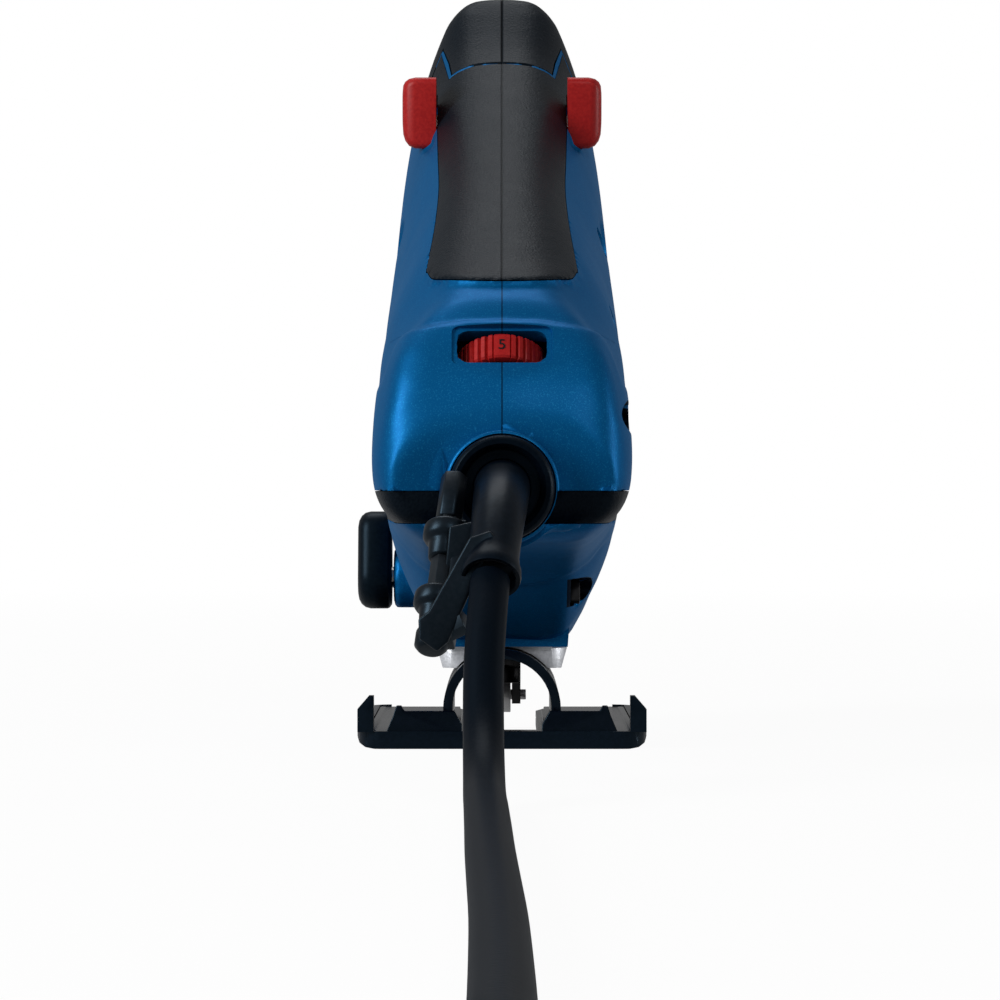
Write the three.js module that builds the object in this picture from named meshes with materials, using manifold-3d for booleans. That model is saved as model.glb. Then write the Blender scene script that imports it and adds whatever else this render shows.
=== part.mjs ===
// Corded body-grip jigsaw: a two-shell moulded housing over a motor, a scotch-yoke drive and a tilting sole.
// Millimetres. +X is the tool's right, +Y the cutting direction, +Z up; z = 0 is the underside of the sole.

import * as THREE from 'three';
import { mergeVertices } from 'three/addons/utils/BufferGeometryUtils.js';
import Module from 'manifold-3d';

const wasm = await Module();
wasm.setup();

// ---------------------------------------------------------------- driving dimensions

// Clearances
const seatGap = 0.3;
const meshTolerance = 0.08;
const runningGap = 0.35;

// Housing
const bodyRear = -97;
const bodyFront = 142;
const bodyHeight = 213.6;
const bodyHalfWidth = 33;
const footHalfWidth = 18.6;
const footUnderside = 27;
const skinDepth = 2.2;
const wallThickness = 4.6;
const partingGap = 0.3;
const gripRear = -68;
const gripFront = 69;
const gripRearHeight = 125;
const gripFrontHeight = 191;
const gripHalfWidth = 16.5;
const noseHeight = 186;
const bandBottom = 62.4;
const bandTop = 70.4;
const bandFront = 5;
const ventRear = -38.4;
const ventPitch = 7;
const ventCount = 4;
const ventHalfWidth = 1.6;
const ventLow = 87.6;
const ventHigh = 98.4;

// Sole
const baseWidth = 79;
const baseLength = 132;
const baseRear = 12;
const shoeFloor = 2;
const plateThickness = 2;
const shoeWallHeight = 4.8;
const clipPostHeight = 14.4;
const lipHeight = 10.2;
const windowHalfWidth = 10;
const windowMouth = 12.6;

// Tilt saddle and its clamp
const tiltHeight = 10.6;
const tiltRange = 45;
const saddleOuterRadius = 16.1;
const saddleSheet = 2.5;
const saddleRear = 18;
const saddleLength = 64;
const clampY = 48;
const clampScrewRadius = 2.9;
const clampHeadRadius = 5;

// Drive
const motorHeight = 84;
const fieldRear = -4;
const fieldLength = 54;
const fieldRadius = 25;
const armatureRadius = 14.5;
const shaftRadius = 3;
const shaftNoseRadius = 1.8;
const bearingRadius = 11;
const bearingWidth = 7;
const bulkheadY = 62;
const bulkheadThickness = 6;
const gearY = 76;
const gearWidth = 8;
const gearModule = 1;
const gearTeeth = 48;
const pinionTeeth = 8;
const stroke = 26;

// Plunger and blade guide
const bladeY = 108;
const rodRadius = 6;
const rodBottom = 36.3;
const rodLength = 136;
const clampBottom = 20;
const rollerRadius = 5.2;
const rollerY = 99.5;
const rollerHeight = 10.2;
const forkPivotY = 91;
const forkPivotHeight = 41;
const pivotPinRadius = 2;

// Controls
const dialRadius = 14;
const dialWidth = 8.5;
const dialY = -76.3;
const dialHeight = 100.4;
const dialSlope = 57 * Math.PI / 180;
const switchLength = 20;
const switchHeight = 13;
const switchReach = 27.5;
const switchTravel = 7;
const switchY = 59;
const switchZ = gripFrontHeight - 14.6;
const switchSlope = 27 * Math.PI / 180;
const leverY = 80;
const leverHeight = 45;
const leverInner = 31.4;
const leverThickness = 8;
const leverPadRadius = 8.8;

// Mains cord
const cordDiameter = 9.4;
const glandHeight = 71.2;
const glandRadius = 13;
const glandBore = 9.7;
const sleeveRadius = 6.9;
const coilMeanRadius = 47;
const coilTurnsAcross = 3;
const coilLayers = 2;
const coilY = -735.5;
const plugTurn = 60;
const plugHalfThickness = 13.4;

// ---------------------------------------------------------------- finishes

const finishes = {
  blue: { color: '#1b5f9e', roughness: 0.45, metalness: 0.1 },
  rubber: { color: '#15171a', roughness: 0.75, metalness: 0 },
  black: { color: '#101113', roughness: 0.5, metalness: 0 },
  red: { color: '#c8252b', roughness: 0.4, metalness: 0 },
  casting: { color: '#b9bcc0', roughness: 0.45, metalness: 0.9 },
  steel: { color: '#8f9296', roughness: 0.3, metalness: 1 },
  darkSteel: { color: '#26282b', roughness: 0.4, metalness: 0.9 },
  iron: { color: '#55504c', roughness: 0.6, metalness: 0.7 },
  copper: { color: '#b06a3c', roughness: 0.35, metalness: 1 },
  bronze: { color: '#a07a45', roughness: 0.4, metalness: 1 },
  white: { color: '#d9d6cc', roughness: 0.6, metalness: 0 },
};

// ---------------------------------------------------------------- solids

/** A closed manifold solid from any closed three.js geometry. */
function toSolid(geometry) {
  const bare = geometry.clone();
  bare.deleteAttribute('normal');
  bare.deleteAttribute('uv');
  const merged = mergeVertices(bare, 1e-4);
  const index = merged.index.array;
  const faces = [];
  for (let i = 0; i < index.length; i += 3) {
    const [a, b, c] = [index[i], index[i + 1], index[i + 2]];
    if (a !== b && b !== c && c !== a) {
      faces.push(a, b, c);
    }
  }
  return new wasm.Manifold(new wasm.Mesh({
    numProp: 3,
    vertProperties: new Float32Array(merged.attributes.position.array),
    triVerts: new Uint32Array(faces),
  }));
}

/** The largest body of a solid, without the slivers that a cut can leave. */
function mainBody(solid) {
  return solid.decompose().reduce((best, body) => (body.volume() > best.volume() ? body : best));
}

/** A named mesh of a solid, in one of the finishes. */
function piece(name, solid, finish) {
  const data = mainBody(solid).simplify(meshTolerance).getMesh();
  const geometry = new THREE.BufferGeometry();
  geometry.setAttribute('position', new THREE.BufferAttribute(new Float32Array(data.vertProperties), 3));
  geometry.setIndex(new THREE.BufferAttribute(new Uint32Array(data.triVerts), 1));
  geometry.computeVertexNormals();
  const mesh = new THREE.Mesh(geometry, new THREE.MeshStandardMaterial(finishes[finish]));
  mesh.name = name;
  return mesh;
}

/** An axis-aligned block between two corners. */
function block(x0, x1, y0, y1, z0, z1) {
  const box = new THREE.BoxGeometry(x1 - x0, y1 - y0, z1 - z0);
  box.translate((x0 + x1) / 2, (y0 + y1) / 2, (z0 + z1) / 2);
  return toSolid(box);
}

/** A cylinder or cone along an axis from one station to another; at gives the two other coordinates. */
function round(axis, radius, from, to, at, sides = 24, endRadius = radius) {
  const bar = new THREE.CylinderGeometry(endRadius, radius, to - from, sides);
  bar.translate(0, (from + to) / 2, 0);
  if (axis === 'x') {
    bar.rotateZ(-Math.PI / 2);
    bar.translate(0, at[0], at[1]);
  } else if (axis === 'y') {
    bar.translate(at[0], 0, at[1]);
  } else {
    bar.rotateX(Math.PI / 2);
    bar.translate(at[0], at[1], 0);
  }
  return toSolid(bar);
}

/** The corner radius of a polygonal hole whose flats clear a round bar of this radius. */
function clearing(radius, gap, sides = 24) {
  return (radius + gap) / Math.cos(Math.PI / sides);
}

/** A flat outline pushed along an axis. Outline axes: x -> (y, z), y -> (x, z), z -> (x, y). */
function prism(axis, outline, from, to) {
  const shape = outline instanceof THREE.Shape
    ? outline
    : new THREE.Shape(outline.map(([u, v]) => new THREE.Vector2(u, v)));
  const bar = new THREE.ExtrudeGeometry(shape, { depth: to - from, bevelEnabled: false, curveSegments: 3 });
  bar.translate(0, 0, from);
  if (axis === 'x') {
    bar.rotateX(Math.PI / 2);
    bar.rotateZ(Math.PI / 2);
  } else if (axis === 'y') {
    bar.rotateX(Math.PI / 2);
    bar.translate(0, from + to, 0);
  }
  return toSolid(bar);
}

/** A rectangle outline with rounded corners. */
function roundedOutline(u0, u1, v0, v1, radius) {
  const shape = new THREE.Shape();
  shape.moveTo(u0 + radius, v0);
  shape.lineTo(u1 - radius, v0);
  shape.absarc(u1 - radius, v0 + radius, radius, -Math.PI / 2, 0);
  shape.lineTo(u1, v1 - radius);
  shape.absarc(u1 - radius, v1 - radius, radius, 0, Math.PI / 2);
  shape.lineTo(u0 + radius, v1);
  shape.absarc(u0 + radius, v1 - radius, radius, Math.PI / 2, Math.PI);
  shape.lineTo(u0, v0 + radius);
  shape.absarc(u0 + radius, v0 + radius, radius, Math.PI, Math.PI * 1.5);
  return shape;
}

/** A skin through rings of equal length, closed by a fan at each end. */
function loft(rings) {
  const count = rings[0].length;
  const positions = rings.flat().flatMap((p) => [p.x, p.y, p.z]);
  const index = [];
  for (let r = 0; r + 1 < rings.length; r += 1) {
    for (let i = 0; i < count; i += 1) {
      const a = r * count + i;
      const b = r * count + (i + 1) % count;
      index.push(a, b, b + count, a, b + count, a + count);
    }
  }
  const last = (rings.length - 1) * count;
  for (const ring of [rings[0], rings[rings.length - 1]]) {
    const middle = ring.reduce((sum, p) => sum.add(p), new THREE.Vector3()).divideScalar(count);
    positions.push(middle.x, middle.y, middle.z);
  }
  const hub = rings.length * count;
  for (let i = 0; i < count; i += 1) {
    const j = (i + 1) % count;
    index.push(hub, j, i);
    index.push(hub + 1, last + i, last + j);
  }
  const geometry = new THREE.BufferGeometry();
  geometry.setAttribute('position', new THREE.BufferAttribute(new Float32Array(positions), 3));
  geometry.setIndex(index);
  const solid = toSolid(geometry);
  if (solid.volume() > 0) {
    return solid;
  }
  const turned = [];
  for (let i = 0; i < index.length; i += 3) {
    turned.push(index[i], index[i + 2], index[i + 1]);
  }
  geometry.setIndex(turned);
  return toSolid(geometry);
}

/** A tapering round tube form along a curve. */
function taper(curve, radii, sides, steps) {
  const frames = curve.computeFrenetFrames(steps, false);
  const rings = [];
  for (let s = 0; s <= steps; s += 1) {
    const centre = curve.getPointAt(s / steps);
    const radius = radii(s / steps);
    const ring = [];
    for (let i = 0; i < sides; i += 1) {
      const a = 2 * Math.PI * i / sides;
      ring.push(centre.clone()
        .addScaledVector(frames.normals[s], radius * Math.cos(a))
        .addScaledVector(frames.binormals[s], radius * Math.sin(a)));
    }
    rings.push(ring);
  }
  return loft(rings);
}

/** Left and right halves of a moulding, split on the centre plane. */
function halves(solid) {
  const reach = 2 * bodyHeight;
  const split = partingGap / 2;
  const left = solid.intersect(block(-reach, -split, -reach, reach, -reach, reach));
  const right = solid.intersect(block(split, reach, -reach, reach, -reach, reach));
  return [left, right];
}

/** A smooth curve through stations that never overshoots them. */
function profile(stations) {
  const n = stations.length;
  const h = [];
  const slope = [];
  for (let i = 0; i + 1 < n; i += 1) {
    h.push(stations[i + 1][0] - stations[i][0]);
    slope.push((stations[i + 1][1] - stations[i][1]) / h[i]);
  }
  const tangent = stations.map((station, i) => {
    if (i === 0 || i === n - 1) {
      return slope[Math.min(i, n - 2)];
    }
    const [before, after] = [slope[i - 1], slope[i]];
    return before * after <= 0 ? 0 : 2 * before * after / (before + after);
  });
  return (y) => {
    let i = 0;
    while (i < n - 2 && y > stations[i + 1][0]) {
      i += 1;
    }
    const t = THREE.MathUtils.clamp((y - stations[i][0]) / h[i], 0, 1);
    const [t2, t3] = [t * t, t * t * t];
    return (2 * t3 - 3 * t2 + 1) * stations[i][1] + (t3 - 2 * t2 + t) * h[i] * tangent[i]
      + (3 * t2 - 2 * t3) * stations[i + 1][1] + (t3 - t2) * h[i] * tangent[i + 1];
  };
}

// ---------------------------------------------------------------- housing form

// The outer form is a pear-shaped section lofted along Y. Each profile gives one size of the section.
const ridge = profile([
  [bodyRear, glandHeight + 10], [bodyRear + 2, glandHeight + 20], [bodyRear + 8, glandHeight + 34],
  [bodyRear + 18, glandHeight + 47.4],
  [gripRear, gripRearHeight], [gripFront, gripFrontHeight], [gripFront + 16, gripFrontHeight + 10],
  [bodyFront - 38, bodyHeight], [bodyFront - 24, bodyHeight - 3], [bodyFront - 11, bodyHeight - 13],
  [bodyFront - 4, bodyHeight - 25], [bodyFront, bodyHeight - 41],
]);
const keel = profile([
  [bodyRear, glandHeight - 9], [bodyRear + 7, glandHeight - 12.5], [-40, 54.5], [-14, 50],
  [baseRear - 6, 40], [saddleRear - 1, 33], [saddleRear + 10, footUnderside + 1.2],
  [saddleRear + 18, footUnderside], [bodyFront - 16, footUnderside], [bodyFront - 8, 44], [bodyFront, 80],
]);
const maxHalfWidth = profile([
  [bodyRear, bodyHalfWidth - 5.5], [bodyRear + 5, bodyHalfWidth - 2.4], [bodyRear + 17, bodyHalfWidth - 0.4],
  [-50, bodyHalfWidth], [0, bodyHalfWidth - 1], [50, bodyHalfWidth - 3.4], [90, bodyHalfWidth - 4.6],
  [bodyFront - 22, bodyHalfWidth - 8], [bodyFront - 7, bodyHalfWidth - 14], [bodyFront, bodyHalfWidth - 22],
]);
const maxWidthHeight = profile([
  [bodyRear, glandHeight + 3], [gripRear, motorHeight - 1], [0, motorHeight], [60, motorHeight + 12],
  [bodyFront, 122],
]);
const footWidth = profile([
  [bodyRear, bodyHalfWidth - 7], [-40, bodyHalfWidth - 8], [-14, bodyHalfWidth - 9.5],
  [baseRear - 6, footHalfWidth + 3], [saddleRear + 4, footHalfWidth + 0.8],
  [bodyFront - 24, footHalfWidth + 0.4],
  [bodyFront - 12, footHalfWidth - 5], [bodyFront, footHalfWidth - 9],
]);
const crownWidth = profile([
  [bodyRear, 24], [bodyRear + 4, 26.5], [bodyRear + 9, 26], [bodyRear + 18, 22.5],
  [gripRear, gripHalfWidth + 3.3],
  [-20, gripHalfWidth + 1], [10, gripHalfWidth], [32, gripHalfWidth + 0.5], [gripFront, gripHalfWidth + 1.2],
  [bodyFront - 38, gripHalfWidth + 0.9], [bodyFront - 17, gripHalfWidth - 1.6], [bodyFront, 8],
]);
const crownDrop = profile([
  [bodyRear, 3], [bodyRear + 18, 7], [gripRear, 8], [gripFront - 10, 8], [bodyFront - 38, 10.4],
  [bodyFront, 9],
]);

const shoulderDrop = profile([
  [bodyRear, 0.48], [-20, 0.48], [20, 0.44], [gripFront, 0.38], [bodyFront, 0.38],
]);
const shoulderShare = profile([
  [bodyRear, 0.885], [gripRear, 0.885], [-20, 0.9], [20, 0.94], [gripFront, 0.965], [bodyFront, 0.92],
]);

/** One closed ring of the housing's section at a fraction of its length, drawn in by inset. */
function sectionRing(fraction, inset, samples) {
  const y = THREE.MathUtils.lerp(bodyRear + inset, bodyFront - inset, fraction);
  const at = THREE.MathUtils.lerp(bodyRear, bodyFront, fraction);
  const top = ridge(at) - inset;
  const bottom = keel(at) + inset;
  const middle = maxWidthHeight(at);
  const wide = maxHalfWidth(at) - inset;
  const foot = footWidth(at) - inset;
  const crown = crownWidth(at) - inset;
  const drop = Math.min(crownDrop(at), 0.3 * (top - middle));
  const right = [
    [foot * 0.75, bottom],
    [foot, bottom + Math.min(4, 0.25 * (middle - bottom))],
    [0.955 * wide, bottom + 0.43 * (middle - bottom)],
    [wide, middle],
    [Math.max(wide * shoulderShare(at), (wide + crown) / 2), top - shoulderDrop(at) * (top - middle)],
    [crown, top - drop],
    [crown * 0.6, top - 0.14 * drop],
  ];
  const left = right.slice().reverse().map(([x, z]) => [-x, z]);
  const corners = [[0, bottom], ...right, [0, top], ...left];
  const curve = new THREE.CatmullRomCurve3(
    corners.map(([x, z]) => new THREE.Vector3(x, y, z)), true, 'centripetal',
  );
  const count = corners.length * samples;
  return Array.from({ length: count }, (_, i) => curve.getPoint(i / count));
}

/** The housing's form drawn in by inset; stations crowd towards both rounded ends. */
function bodyForm(inset, stations = 14, samples = 2) {
  const rings = [];
  for (let s = 0; s <= stations; s += 1) {
    const fraction = 0.5 - 0.5 * Math.cos(Math.PI * s / stations);
    rings.push(sectionRing(fraction, inset, samples));
  }
  return loft(rings);
}

const outerForm = bodyForm(0, 22, 3);
const skinFloor = bodyForm(skinDepth, 12, 1);
const skinSeat = bodyForm(skinDepth + seatGap, 12, 1);
const cavity = bodyForm(wallThickness, 10, 1);
const ribEdge = bodyForm(wallThickness - 0.6, 10, 1);
const innerFit = bodyForm(wallThickness + 2 * seatGap, 10, 1);

/** The plan outline of the waisted grip pad, drawn in by trim. */
function gripRegion(trim) {
  const stations = [
    [gripRear, 8], [gripRear + 0.6, 11], [gripRear + 3.7, 14], [gripRear + 7, gripHalfWidth - 0.5],
    [gripRear + 13, gripHalfWidth + 1.4], [gripRear + 21, gripHalfWidth + 2.4],
    [gripRear + 30, gripHalfWidth + 2.1], [gripRear + 45, gripHalfWidth + 0.9], [10, gripHalfWidth],
    [32, gripHalfWidth + 0.6], [gripFront, gripHalfWidth + 1.2],
  ];
  const side = profile(stations);
  const rear = gripRear + trim;
  const front = gripFront - trim;
  const right = [];
  for (let s = 0; s <= 14; s += 1) {
    const u = (s / 14) ** 2;
    const reach = side(THREE.MathUtils.lerp(gripRear, gripFront, u));
    right.push([reach - trim, THREE.MathUtils.lerp(rear, front, u)]);
  }
  const left = right.slice().reverse().map(([x, y]) => [-x, y]);
  return prism('z', [...right, ...left], motorHeight, bodyHeight + 10);
}

/** The side outline of the rubber nose, drawn in by trim. */
function noseRegion(trim) {
  const back = gripFront + trim;
  const low = noseHeight + trim;
  const outline = [
    [back, low + 1], [back + 24, low - 2], [bodyFront - 20, low - 16], [bodyFront + 8, low - 22],
    [bodyFront + 8, bodyHeight + 10], [back, bodyHeight + 10],
  ];
  return prism('x', outline, -bodyHalfWidth, bodyHalfWidth);
}

/** The slab of the bumper band around the tail, drawn in by trim. */
function bandRegion(trim) {
  const outline = [
    [bodyRear - 5, bandBottom + trim], [bandFront - trim, bandBottom + trim],
    [bandFront - 6 - trim, bandTop - trim], [bodyRear - 5, bandTop - trim],
  ];
  return prism('x', outline, -bodyHalfWidth - 1, bodyHalfWidth + 1);
}

// ---------------------------------------------------------------- housing shells

const gearRadius = gearModule * gearTeeth / 2;
const pinionRadius = gearModule * pinionTeeth / 2;
const gearHeight = motorHeight + gearRadius + pinionRadius + 0.1;
const neckHalfWidth = 13.7;
const moduleDepth = dialRadius + 1.3;
const moduleHalfHeight = 10;
const wellHalfWidth = 8.2;
const footTop = footUnderside + 6;
const dialUp = new THREE.Vector3(0, Math.cos(dialSlope), Math.sin(dialSlope));
const dialOut = new THREE.Vector3(0, -Math.sin(dialSlope), Math.cos(dialSlope));
const switchAlong = new THREE.Vector3(0, Math.cos(switchSlope), Math.sin(switchSlope));

/** Turns a solid made around the dial's centre (X across, Y outwards, Z along the axle) into place. */
function atDial(solid) {
  const turn = new THREE.Matrix4().makeBasis(new THREE.Vector3(-1, 0, 0), dialOut, dialUp);
  turn.setPosition(0, dialY, dialHeight);
  return solid.transform(turn.elements);
}

/** Turns a solid made around the switch's centre (Y along its travel) into place. */
function atSwitch(solid, shift = 0) {
  const turn = new THREE.Matrix4().makeRotationX(switchSlope);
  turn.setPosition(0, switchY + shift * switchAlong.y, switchZ + shift * switchAlong.z);
  return solid.transform(turn.elements);
}

const screwPlaces = [
  { name: 'housing_screw_tail_low', y: -48.5, z: 88.5, half: 26 },
  { name: 'housing_screw_tail_top', y: -24, z: 114, half: 21 },
  { name: 'housing_screw_belly', y: 14, z: 43, half: 18 },
  { name: 'housing_screw_middle', y: 25, z: 138, half: 22 },
  { name: 'housing_screw_front', y: 131, z: 112, half: 15 },
];
const screwRadius = 1.9;
const screwHeadRadius = 3.6;
const screwTip = 12;
const bossRadius = 4.2;

function screwBosses() {
  const reach = bodyHalfWidth - 4;
  const [first, ...rest] = screwPlaces.map(({ y, z }) => round('x', bossRadius, -reach, reach, [y, z], 8));
  return rest.reduce((sum, boss) => sum.add(boss), first);
}

/** Ribs that hold the field, the rear bearing and the control module. */
function innerRibs() {
  const slab = (y0, y1) => block(-50, 50, y0, y1, 0, 250);
  const hold = fieldRadius + seatGap;
  const rearBearingY = fieldRear - 38;
  const fieldRibs = slab(fieldRear + 8, fieldRear + 11)
    .add(slab(fieldRear + fieldLength - 10, fieldRear + fieldLength - 7))
    .subtract(round('y', clearing(hold, 0, 16), -200, 200, [0, motorHeight], 16));
  const bearingRib = slab(rearBearingY + 1.5, rearBearingY + 5.5)
    .subtract(round('y', clearing(bearingRadius, seatGap, 16), -200, 200, [0, motorHeight], 16));
  const moduleEdge = new THREE.Vector3(0, dialY, dialHeight)
    .addScaledVector(dialOut, -moduleDepth)
    .addScaledVector(dialUp, -moduleHalfHeight);
  const moduleRib = slab(moduleEdge.y - 3.1, moduleEdge.y - seatGap)
    .subtract(block(-15.5, 15.5, -200, 200, moduleEdge.z + 1.5, 125));
  return fieldRibs.add(bearingRib).add(moduleRib);
}

function housingShells() {
  let wall = outerForm
    .subtract(gripRegion(0).subtract(skinSeat))
    .subtract(noseRegion(0).subtract(skinSeat))
    .subtract(bandRegion(0).subtract(skinSeat));
  const collar = round('y', glandRadius + 2.4, bodyRear - 4, bodyRear + 8, [0, glandHeight], 32);
  wall = wall.add(collar).subtract(cavity);
  wall = wall.add(innerRibs().add(screwBosses()).intersect(ribEdge));
  const leverPad = round('x', leverPadRadius, -leverInner + seatGap, -20, [leverY, leverHeight], 20);
  wall = wall.add(leverPad.subtract(cavity));
  const fieldHole = clearing(fieldRadius, seatGap, 16);
  const headHole = screwHeadRadius + 0.4;
  const cuts = [
    round('y', clearing(glandRadius, seatGap, 32), bodyRear - 8, bodyRear + 12, [0, glandHeight], 32),
    block(-neckHalfWidth - seatGap, neckHalfWidth + seatGap, saddleRear + 10, bodyFront - 20,
      footUnderside - 4, footTop + 8),
    atDial(block(-11, 11, 0, dialRadius + 6, -dialWidth / 2 - 0.5, dialWidth / 2 + 0.5)),
    atDial(round('z', dialRadius + 0.6, -dialWidth / 2 - 0.5, dialWidth / 2 + 0.5, [0, 0], 20)),
    atDial(prism('z', roundedOutline(-12.7, 12.7, -5.8, 5.8, 2), dialRadius - 2.1, dialRadius + 6)
      .rotate([-90, 0, 0])),
    switchSlot(),
    block(-50, 50, saddleRear + 9, bodyFront, 0, footUnderside),
    round('y', fieldHole, fieldRear - 1, fieldRear + fieldLength + 1, [0, motorHeight], 16),
    round('y', gearRadius + 2.2, gearY - 1, gearY + gearWidth + 1, [0, gearHeight], 24),
    round('x', clearing(3, 0.1, 16), -40, -12, [leverY, leverHeight], 16),
    ...screwPlaces.map(({ y, z }) => round('x', screwRadius + 0.3, -screwTip - 2, bodyHalfWidth, [y, z], 8)),
    ...screwPlaces.map(({ y, z, half }) => round('x', headHole, half, bodyHalfWidth + 4, [y, z], 12)),
    ...ventSlots(),
  ];
  wall = cuts.reduce((solid, cut) => solid.subtract(cut), wall);
  return halves(wall);
}

/** Cooling slots through both flanks, beside the commutator and beside the fan. */
function ventSlots() {
  const slots = [];
  for (let i = 0; i < ventCount; i += 1) {
    const y = ventRear + i * ventPitch;
    slots.push(prism('x', [
      [y - ventHalfWidth, ventLow], [y, ventLow - ventHalfWidth], [y + ventHalfWidth, ventLow],
      [y + ventHalfWidth, ventHigh], [y, ventHigh + ventHalfWidth], [y - ventHalfWidth, ventHigh],
    ], -50, 50));
  }
  return slots;
}

/** The slot on both flanks that the switch buttons' stems travel in. */
function switchSlot() {
  return atSwitch(block(-switchReach, switchReach, -7.4, 7.4 + switchTravel, -5, 0.7));
}

// ---------------------------------------------------------------- grips, nose and band

function coveredHalves(region, names, finish) {
  const cover = outerForm.intersect(region).subtract(skinFloor).subtract(switchSlot());
  return halves(cover).map((half, i) => piece(names[i], half, finish));
}

function bumperBand() {
  const around = round('y', glandRadius + 2.8, bodyRear - 10, bodyRear + 10, [0, glandHeight], 32);
  const cover = outerForm.intersect(bandRegion(seatGap)).subtract(skinFloor).subtract(around);
  return halves(cover).map((half, i) => piece(['left_bumper_band', 'right_bumper_band'][i], half, 'rubber'));
}

// ---------------------------------------------------------------- cord entry, boot and key holder

const sleevePath = new THREE.CatmullRomCurve3([
  new THREE.Vector3(0, bodyRear + 9, glandHeight),
  new THREE.Vector3(0, bodyRear - 2, glandHeight),
  new THREE.Vector3(0, bodyRear - 9, glandHeight - 0.6),
  new THREE.Vector3(-0.5, bodyRear - 21.5, glandHeight - 4.2),
  new THREE.Vector3(-1.4, bodyRear - 32.5, glandHeight - 11.4),
  new THREE.Vector3(-2.6, bodyRear - 42.8, glandHeight - 21.2),
]);

function glandRing() {
  const outer = round('y', glandRadius, bodyRear - 6, bodyRear + 6, [0, glandHeight], 32);
  const flare = round('y', glandRadius - 1.6, bodyRear - 6.2, bodyRear - 4, [0, glandHeight], 32, glandBore);
  const recess = round('y', glandBore, bodyRear - 5, bodyRear - 1, [0, glandHeight], 32);
  const sleeveHole = clearing(sleeveRadius, seatGap, 16);
  const bore = round('y', sleeveHole, bodyRear - 10, bodyRear + 10, [0, glandHeight], 16);
  return outer.subtract(flare).subtract(recess).subtract(bore);
}

function strainRelief() {
  return taper(sleevePath, (t) => sleeveRadius - 1.3 * t + (t > 0.9 ? 0.5 : 0), 16, 10);
}

const keyTop = new THREE.Vector3(-11.5, bodyRear - 13, glandHeight + 2);
const keyFoot = new THREE.Vector3(-16.4, bodyRear - 39, 36);
const keyTip = keyFoot.clone().add(new THREE.Vector3(8, -3, 4));
const keyHalfFlat = 2.5;

/** Turns a solid made along +Z from the origin so that it runs from one point towards another. */
function along(solid, from, to) {
  const direction = to.clone().sub(from).normalize();
  const turn = new THREE.Quaternion().setFromUnitVectors(new THREE.Vector3(0, 0, 1), direction);
  const place = new THREE.Matrix4().compose(from, turn, new THREE.Vector3(1, 1, 1));
  return solid.transform(place.elements);
}

/** An L-shaped key: the long leg runs down through the holder, the short leg turns inwards at the foot. */
function hexKey() {
  const corner = keyHalfFlat / Math.cos(Math.PI / 6);
  const length = keyTop.distanceTo(keyFoot);
  const leg = along(round('z', corner, 0, length + corner, [0, 0], 6), keyTop, keyFoot);
  const shortLeg = along(round('z', corner, 0, keyFoot.distanceTo(keyTip), [0, 0], 6), keyFoot, keyTip);
  return leg.add(shortLeg);
}

function keyClip() {
  const length = keyTop.distanceTo(keyFoot);
  const ringStart = 0.52;
  const ringPoints = [0, 0.5, 1].map((s) => sleevePath.getPointAt(ringStart + 0.17 * s));
  const seat = new THREE.CatmullRomCurve3(ringPoints);
  const ring = taper(seat, () => sleeveRadius + 1.3, 16, 3);
  const bore = taper(sleevePath, () => sleeveRadius + 0.25, 16, 10);
  let clip = ring;
  for (const t of [0.3, 0.72]) {
    const hook = round('z', keyHalfFlat + 3, t * length, t * length + 7, [0, 0], 12);
    clip = clip.add(along(hook, keyTop, keyFoot));
  }
  const from = seat.getPoint(0.6).add(new THREE.Vector3(-6.5, -2, 1));
  const to = keyFoot.clone().add(new THREE.Vector3(1.5, -2.5, -2.5));
  const strap = along(block(-4, 4, -1.3, 1.3, 0, from.distanceTo(to)), from, to);
  const toe = along(round('z', 3.6, length - 1, length + 3.4, [0, 0], 12), keyTop, keyFoot);
  const spine = along(block(2.6, 5.4, -3.2, 3.2, 0.3 * length, length + 2), keyTop, keyFoot);
  const web = prism('y', [
    [-4, glandHeight - 8], [-14, glandHeight - 12], [-15, glandHeight - 18], [-6, glandHeight - 20],
  ], bodyRear - 26, bodyRear - 20);
  clip = clip.add(strap).add(toe).add(spine).add(web);
  const around = clearing(keyHalfFlat / Math.cos(Math.PI / 6), seatGap, 12);
  const longHole = round('z', around, -5, length + around + seatGap, [0, 0], 12);
  const shortHole = round('z', around, 0, keyFoot.distanceTo(keyTip) + seatGap, [0, 0], 12);
  return clip.subtract(bore)
    .subtract(along(longHole, keyTop, keyFoot))
    .subtract(along(shortHole, keyFoot, keyTip));
}

// ---------------------------------------------------------------- speed dial

function speedDial() {
  const ribs = 26;
  const outline = [];
  for (let i = 0; i < ribs * 2; i += 1) {
    const a = 2 * Math.PI * i / (ribs * 2);
    const radius = dialRadius - (i % 2 === 0 ? 0 : 0.9);
    outline.push([radius * Math.cos(a), radius * Math.sin(a)]);
  }
  const wheel = prism('z', outline, -dialWidth / 2, dialWidth / 2);
  return wheel.subtract(round('z', clearing(1.5, 0.15, 12), -10, 10, [0, 0], 12));
}

function controlModule() {
  const cheek = dialWidth / 2 + runningGap;
  const box = block(-17, 17, -moduleDepth - 8.7, -moduleDepth, -moduleHalfHeight, moduleHalfHeight);
  const upper = block(-5, 5, -moduleDepth - 1, 3, cheek, cheek + 2.2);
  const lower = block(-5, 5, -moduleDepth - 1, 3, -cheek - 2.2, -cheek);
  const hole = round('z', clearing(1.5, 0.05, 12), -12, 12, [0, 0], 12);
  return atDial(box.add(upper).add(lower).subtract(hole));
}

// ---------------------------------------------------------------- slide switch

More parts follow.
